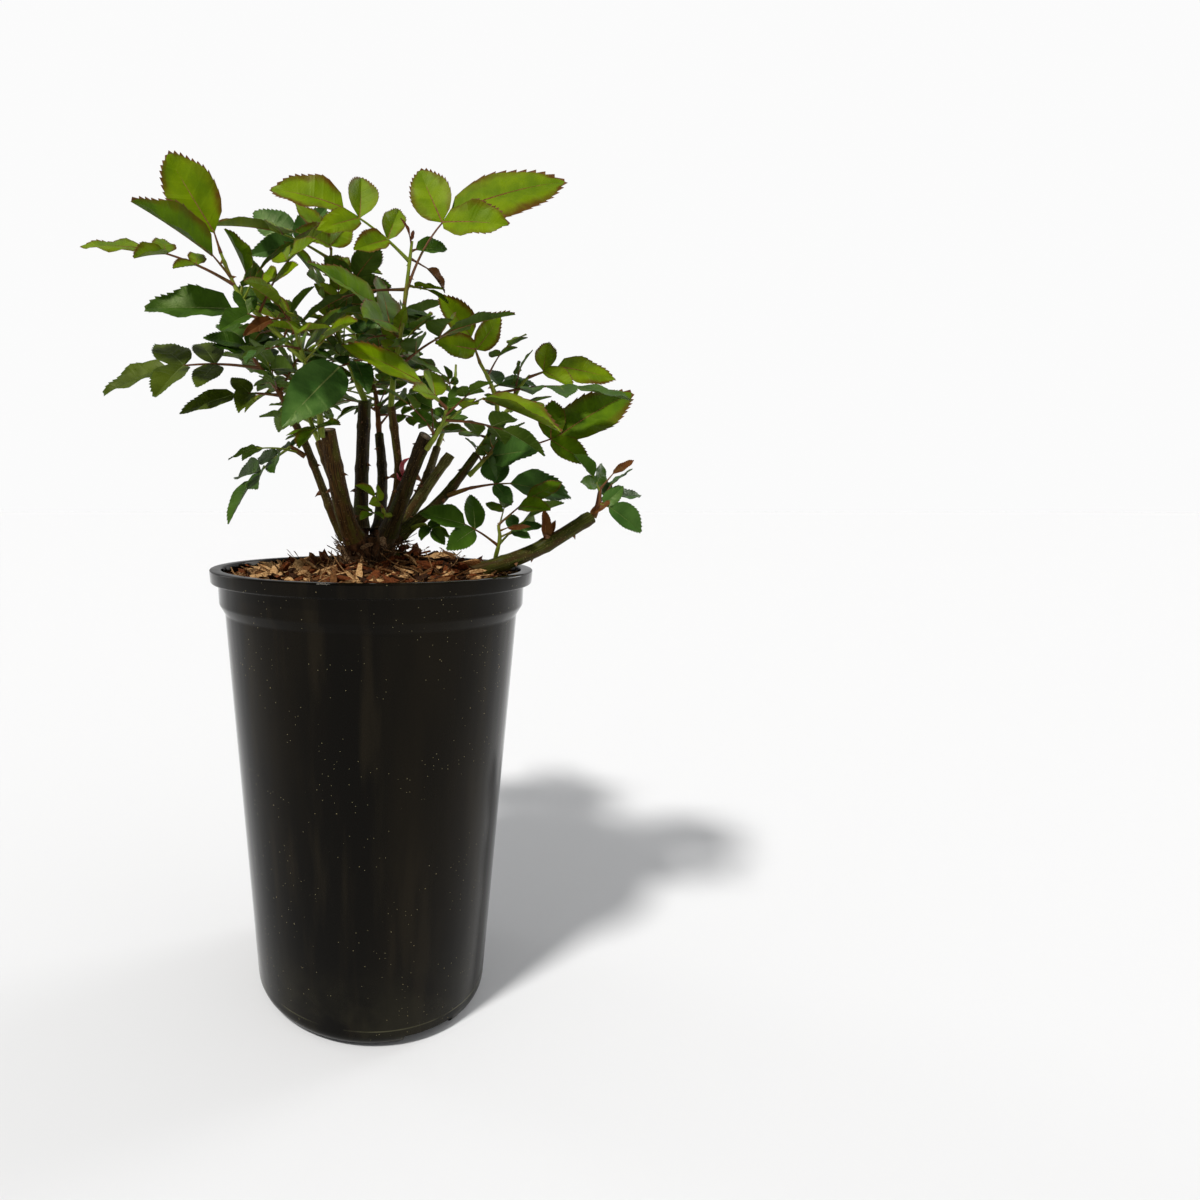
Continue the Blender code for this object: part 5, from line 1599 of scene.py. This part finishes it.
def leaf_finish(name, shade, light, roughness, sheen=0.0, veins=0.06, flush=0.0):
    """A waxy blade with faint side veins, soft mottling and, when young, a flushed margin."""
    finish = Finish(name, light, roughness, Specular_IOR_Level=0.15, Specular_Tint=(0.85, 1.0, 0.25, 1),
                    Coat_Weight=sheen, Coat_Roughness=0.3)
    across, along = abs(finish.axis(0, "UV") - 0.5) * 2, finish.axis(1, "UV")
    rib = abs(((along - across * VEIN_SLANT) * (LEAFLET_ROWS / 2) + 0.25).fract() - 0.5) * 2
    vein = finish.between(rib, 0.70, 1.0)
    cells = finish.mottle(1.0, (26, 42, 1), 4, "UV")
    layers = [(finish.patches(65, 0.3, 0.7, detail=3), light)]
    if flush:
        margin = finish.between(across + finish.mottle(1.0, (3, 5, 1), 3, "UV") * 0.8, 0.90, 1.42)
        layers.append((margin * (finish.patches(28, 0.38, 0.60, detail=2) * 0.75 + 0.25) * flush, FLUSH))
    finish.paint(shade, *layers, (vein * veins, tuple(min(1, c * 1.5 + 0.01) for c in light)))
    finish.set("Roughness", roughness - 0.06 + cells * 0.14)
    finish.relief(cells * 0.6 - vein * 0.35, 0.20 * MM)
    return finish


# A tone: its underside, the tint of its teeth and midrib, and the finish of its upper side
Tone = namedtuple("Tone", "underside edge finish")
LEAF_TONES = {
    # sunlit is the young leaves' yellow-green made brighter still, as painted sunlight on the top of the
    # plant
    "sunlit": Tone("bright", "red", leaf_finish(
        "sunlit_young_leaf", (0.086, 0.150, 0.0005), (0.155, 0.232, 0.0005), 0.46, flush=0.95)),
    "leaf": Tone("pale", "red", leaf_finish(
        "grown_green_leaf", (0.045, 0.096, 0.001), (0.088, 0.164, 0.001), 0.44, flush=0.7)),
    # deep is partly an older leaf's own darker green and partly painted shade inside the plant
    "deep": Tone("pale", "green", leaf_finish(
        "deep_green_leaf", (0.020, 0.053, 0.003), (0.045, 0.102, 0.007), 0.42, 0.02)),
    "olive": Tone("pale", "green", leaf_finish(
        "olive_green_leaf", (0.038, 0.058, 0.002), (0.064, 0.092, 0.005), 0.46, 0.01)),
    "blue": Tone("pale", "green", leaf_finish(
        "waxy_blue_green_leaf", (0.024, 0.068, 0.010), (0.056, 0.126, 0.022), 0.36, 0.05)),
    "bronze": Tone("bronze", "red", leaf_finish(
        "bronze_new_leaf", (0.060, 0.015, 0.004), (0.125, 0.038, 0.009), 0.44, 0.04)),
}
UNDER_FINISHES = {
    # bright is painted light shining through: the undersides of the sunlit top leaves are coloured as if
    # the sun came through them
    "bright": leaf_finish(
        "underside_of_young_leaf", (0.092, 0.142, 0.004), (0.150, 0.205, 0.009), 0.6, veins=0.2),
    "pale": leaf_finish(
        "underside_of_grown_leaf", (0.038, 0.073, 0.006), (0.070, 0.118, 0.013), 0.62, veins=0.2),
    "bronze": leaf_finish(
        "underside_of_new_leaf", (0.12, 0.032, 0.018), (0.19, 0.062, 0.034), 0.5, veins=0.2),
}
EDGE_FINISHES = {
    "leaf_teeth_red": grained("red_brown_leaf_teeth", (0.085, 0.032, 0.010), (0.16, 0.075, 0.018), 0.5),
    "midribs_red": grained("red_brown_midribs", (0.15, 0.060, 0.016), (0.26, 0.13, 0.035), 0.45),
    "leaf_teeth_green": grained("green_leaf_teeth", (0.038, 0.070, 0.006), (0.070, 0.112, 0.012), 0.5),
    "midribs_green": grained("pale_green_midribs", (0.085, 0.120, 0.026), (0.145, 0.185, 0.050), 0.45),
}
# Where the plan sets no tone, a spray's height in millimetres and a draw choose one:
# brightest at the top as painted sunlight, deepest inside as painted shade. Each tone stands
# with the draw that it reaches up to.
TONES_ABOVE = (
    (430, (("sunlit", 0.6), ("leaf", 1))),
    (385, (("sunlit", 0.22), ("leaf", 0.7), ("deep", 0.9), ("blue", 1))),
    (340, (("leaf", 0.38), ("deep", 0.8), ("blue", 1))),
    (0, (("leaf", 0.25), ("deep", 0.75), ("olive", 0.87), ("blue", 1))),
)


def tone_of(spray, dice):
    height, draw = spray.midline[-1].z / MM, dice.random()
    tones = next(tones for least, tones in TONES_ABOVE if height > least)
    return spray.tone or next(tone for tone, most in tones if draw < most)


# Reddish scale leaves that stand by themselves on the lowest branch: foot, tip and facing
BRACTS = (
    ((103, -31, 287), (101, -34, 306), (0.3, -1, 0.2)),
    ((104, -30, 288), (108, -28, 300), (-0.4, -1, 0.4)),
    ((128, -31, 303), (139, -33, 312), (-0.3, -0.8, 0.6)),
)


def bract_spray(foot, tip, facing):
    foot, run = place(*foot), place(*tip) - place(*foot)
    blade = make_blade(foot, run.normalized(), Vector(facing), run.length)
    return Spray([foot - run * 0.1, foot + run * 0.1], [blade], "bronze")


plans["bracts"] = ([], [bract_spray(*bract) for bract in BRACTS])


def make_leaflets():
    """Heaps of blades' upper sides, undersides, teeth and midribs, by the names of their pieces."""
    heaps = {f"leaflets_{tone}": Heap() for tone in LEAF_TONES}
    heaps |= {f"leaflet_undersides_{side}": Heap() for side in UNDER_FINISHES}
    heaps |= {name: Heap() for name in EDGE_FINISHES}
    across, share = BLADE_FORM[:, 0], BLADE_FORM[:, 1]
    uv = np.stack([np.clip(across / open_half(share), -1, 1) / 2 + 0.5, share], axis=1)
    rib_line = np.zeros((RIB_POINTS, 3))
    rib_line[:, 1] = np.linspace(0.0, 0.94, RIB_POINTS)
    for name, (_, sprays) in plans.items():
        dice = random.Random(len(name) * 31 + len(sprays))
        for spray in sprays:
            tone = tone_of(spray, dice)
            side, edge, _ = LEAF_TONES[tone]
            for blade in spray.blades:
                look = leaflet_look(dice, LEAFLET_WIDTH * (BRONZE_WIDTH if tone == "bronze" else 1.0))
                heaps[f"leaflets_{tone}"].add(laid_on(blade, BLADE_FORM, look), BLADE_FACES, uv)
                under = laid_on(blade, BLADE_FORM, look, LEAF_THICKNESS)
                heaps[f"leaflet_undersides_{side}"].add(under, BLADE_FACES[:, ::-1], uv)
                heaps[f"leaf_teeth_{edge}"].add(laid_on(blade, TEETH_FORM, look), TEETH_FACES)
                line = [Vector(p) for p in laid_on(blade, rib_line, look, LEAF_THICKNESS / 2)]
                foot = 0.25 * MM + 0.010 * blade.length
                radii = [foot * (1 - 0.13 * k) for k in range(RIB_POINTS)]
                heaps[f"midribs_{edge}"].add(*pipe(line, radii, 4))
    return heaps


heaps = make_leaflets()
for name, tone in LEAF_TONES.items():
    piece_of(f"leaflets_{name}", heaps[f"leaflets_{name}"].mesh(), tone.finish, sharp=24)
for side, finish in UNDER_FINISHES.items():
    name = f"leaflet_undersides_{side}"
    piece_of(name, heaps[name].mesh(), finish, sharp=24)
for name, finish in EDGE_FINISHES.items():
    piece_of(name, heaps[name].mesh(), finish)

# The studio: a plain pale floor, a softened sun from the upper left, and an even sky that
# is brighter to both sides and behind, with a tall strip box of light on each side, the
# stronger one on the right. The camera stands at the photograph's angle.

FLOOR_SIZE = 30
SKY_LOW, SKY_SIDES, SKY_RIGHTWARD = 0.24, 0.45, 0.2
SKY_EDGE, SKY_BEHIND = (0.22, 0.32), 0.4
STRIP_FRONT, STRIP_BACK, STRIP_TOP = (0.28, 0.31), (0.62, 0.56), (0.68, 0.74)
STRIP_LIGHT, STRIP_RIGHTWARD = 3.2, 2.2
SEEN_PALENESS = 0.967
SUN_STRENGTH = 3.0
SUN_WIDTH = 7
SUN_HEADING = (0.75, 0.75, -1.5)
CAMERA_PLACE = (0, -0.445, 0.309)
CAMERA_TILT = 84
LENS, SENSOR_WIDTH = 21.15, 36
LENS_SHIFT = (0.191, -0.018)

floor_shape = bmesh.new()
bmesh.ops.create_grid(floor_shape, x_segments=1, y_segments=1, size=FLOOR_SIZE)
floor = placed("studio_floor", mesh_from(floor_shape))
pale = Finish("pale_floor", (0.742, 0.749, 0.762), 0.9, Specular_IOR_Level=0.0)
floor.data.materials.append(pale.material)


def studio_sky():
    """Plain pale for the camera; as light, brighter to both sides, with a strip box on each."""
    world = bpy.data.worlds.new("studio")
    world.use_nodes = True
    sky = Shading(world.node_tree)
    x, y = sky.axis(0, "Generated"), sky.axis(1, "Generated")
    side = x + SKY_RIGHTWARD
    light = (side * side * SKY_SIDES + SKY_LOW) * (1 + sky.between(y, *SKY_EDGE) * SKY_BEHIND)
    strip = sky.between(y, *STRIP_FRONT) * sky.between(y, *STRIP_BACK) * sky.between(abs(x), *STRIP_TOP)
    light = light + strip * (x * STRIP_RIGHTWARD + STRIP_LIGHT)
    seen = sky.node("LightPath", output="Is Camera Ray")
    background = world.node_tree.nodes["Background"].inputs
    sky.join(background["Strength"], sky.node("Mix", sockets={0: seen, 2: light, 3: SEEN_PALENESS}))
    sky.join(background["Color"], (1, 1, 1, 1))
    bpy.context.scene.world = world


studio_sky()
sun_light = bpy.data.lights.new("soft_sun", "SUN")
sun_light.energy, sun_light.angle = SUN_STRENGTH, math.radians(SUN_WIDTH)
sun_light.color = (1.0, 0.98, 0.95)
sun = placed("soft_sun", sun_light)
sun.rotation_euler = Vector(SUN_HEADING).to_track_quat("-Z", "Y").to_euler()

camera_data = bpy.data.cameras.new("camera")
camera_data.sensor_width, camera_data.lens = SENSOR_WIDTH, LENS
camera_data.shift_x, camera_data.shift_y = LENS_SHIFT
camera_data.clip_start = 0.01
camera = placed("camera", camera_data)
camera.location = CAMERA_PLACE
camera.rotation_euler = (math.radians(CAMERA_TILT), 0, 0)
bpy.context.scene.camera = camera
bpy.context.scene.view_settings.view_transform = "Standard"
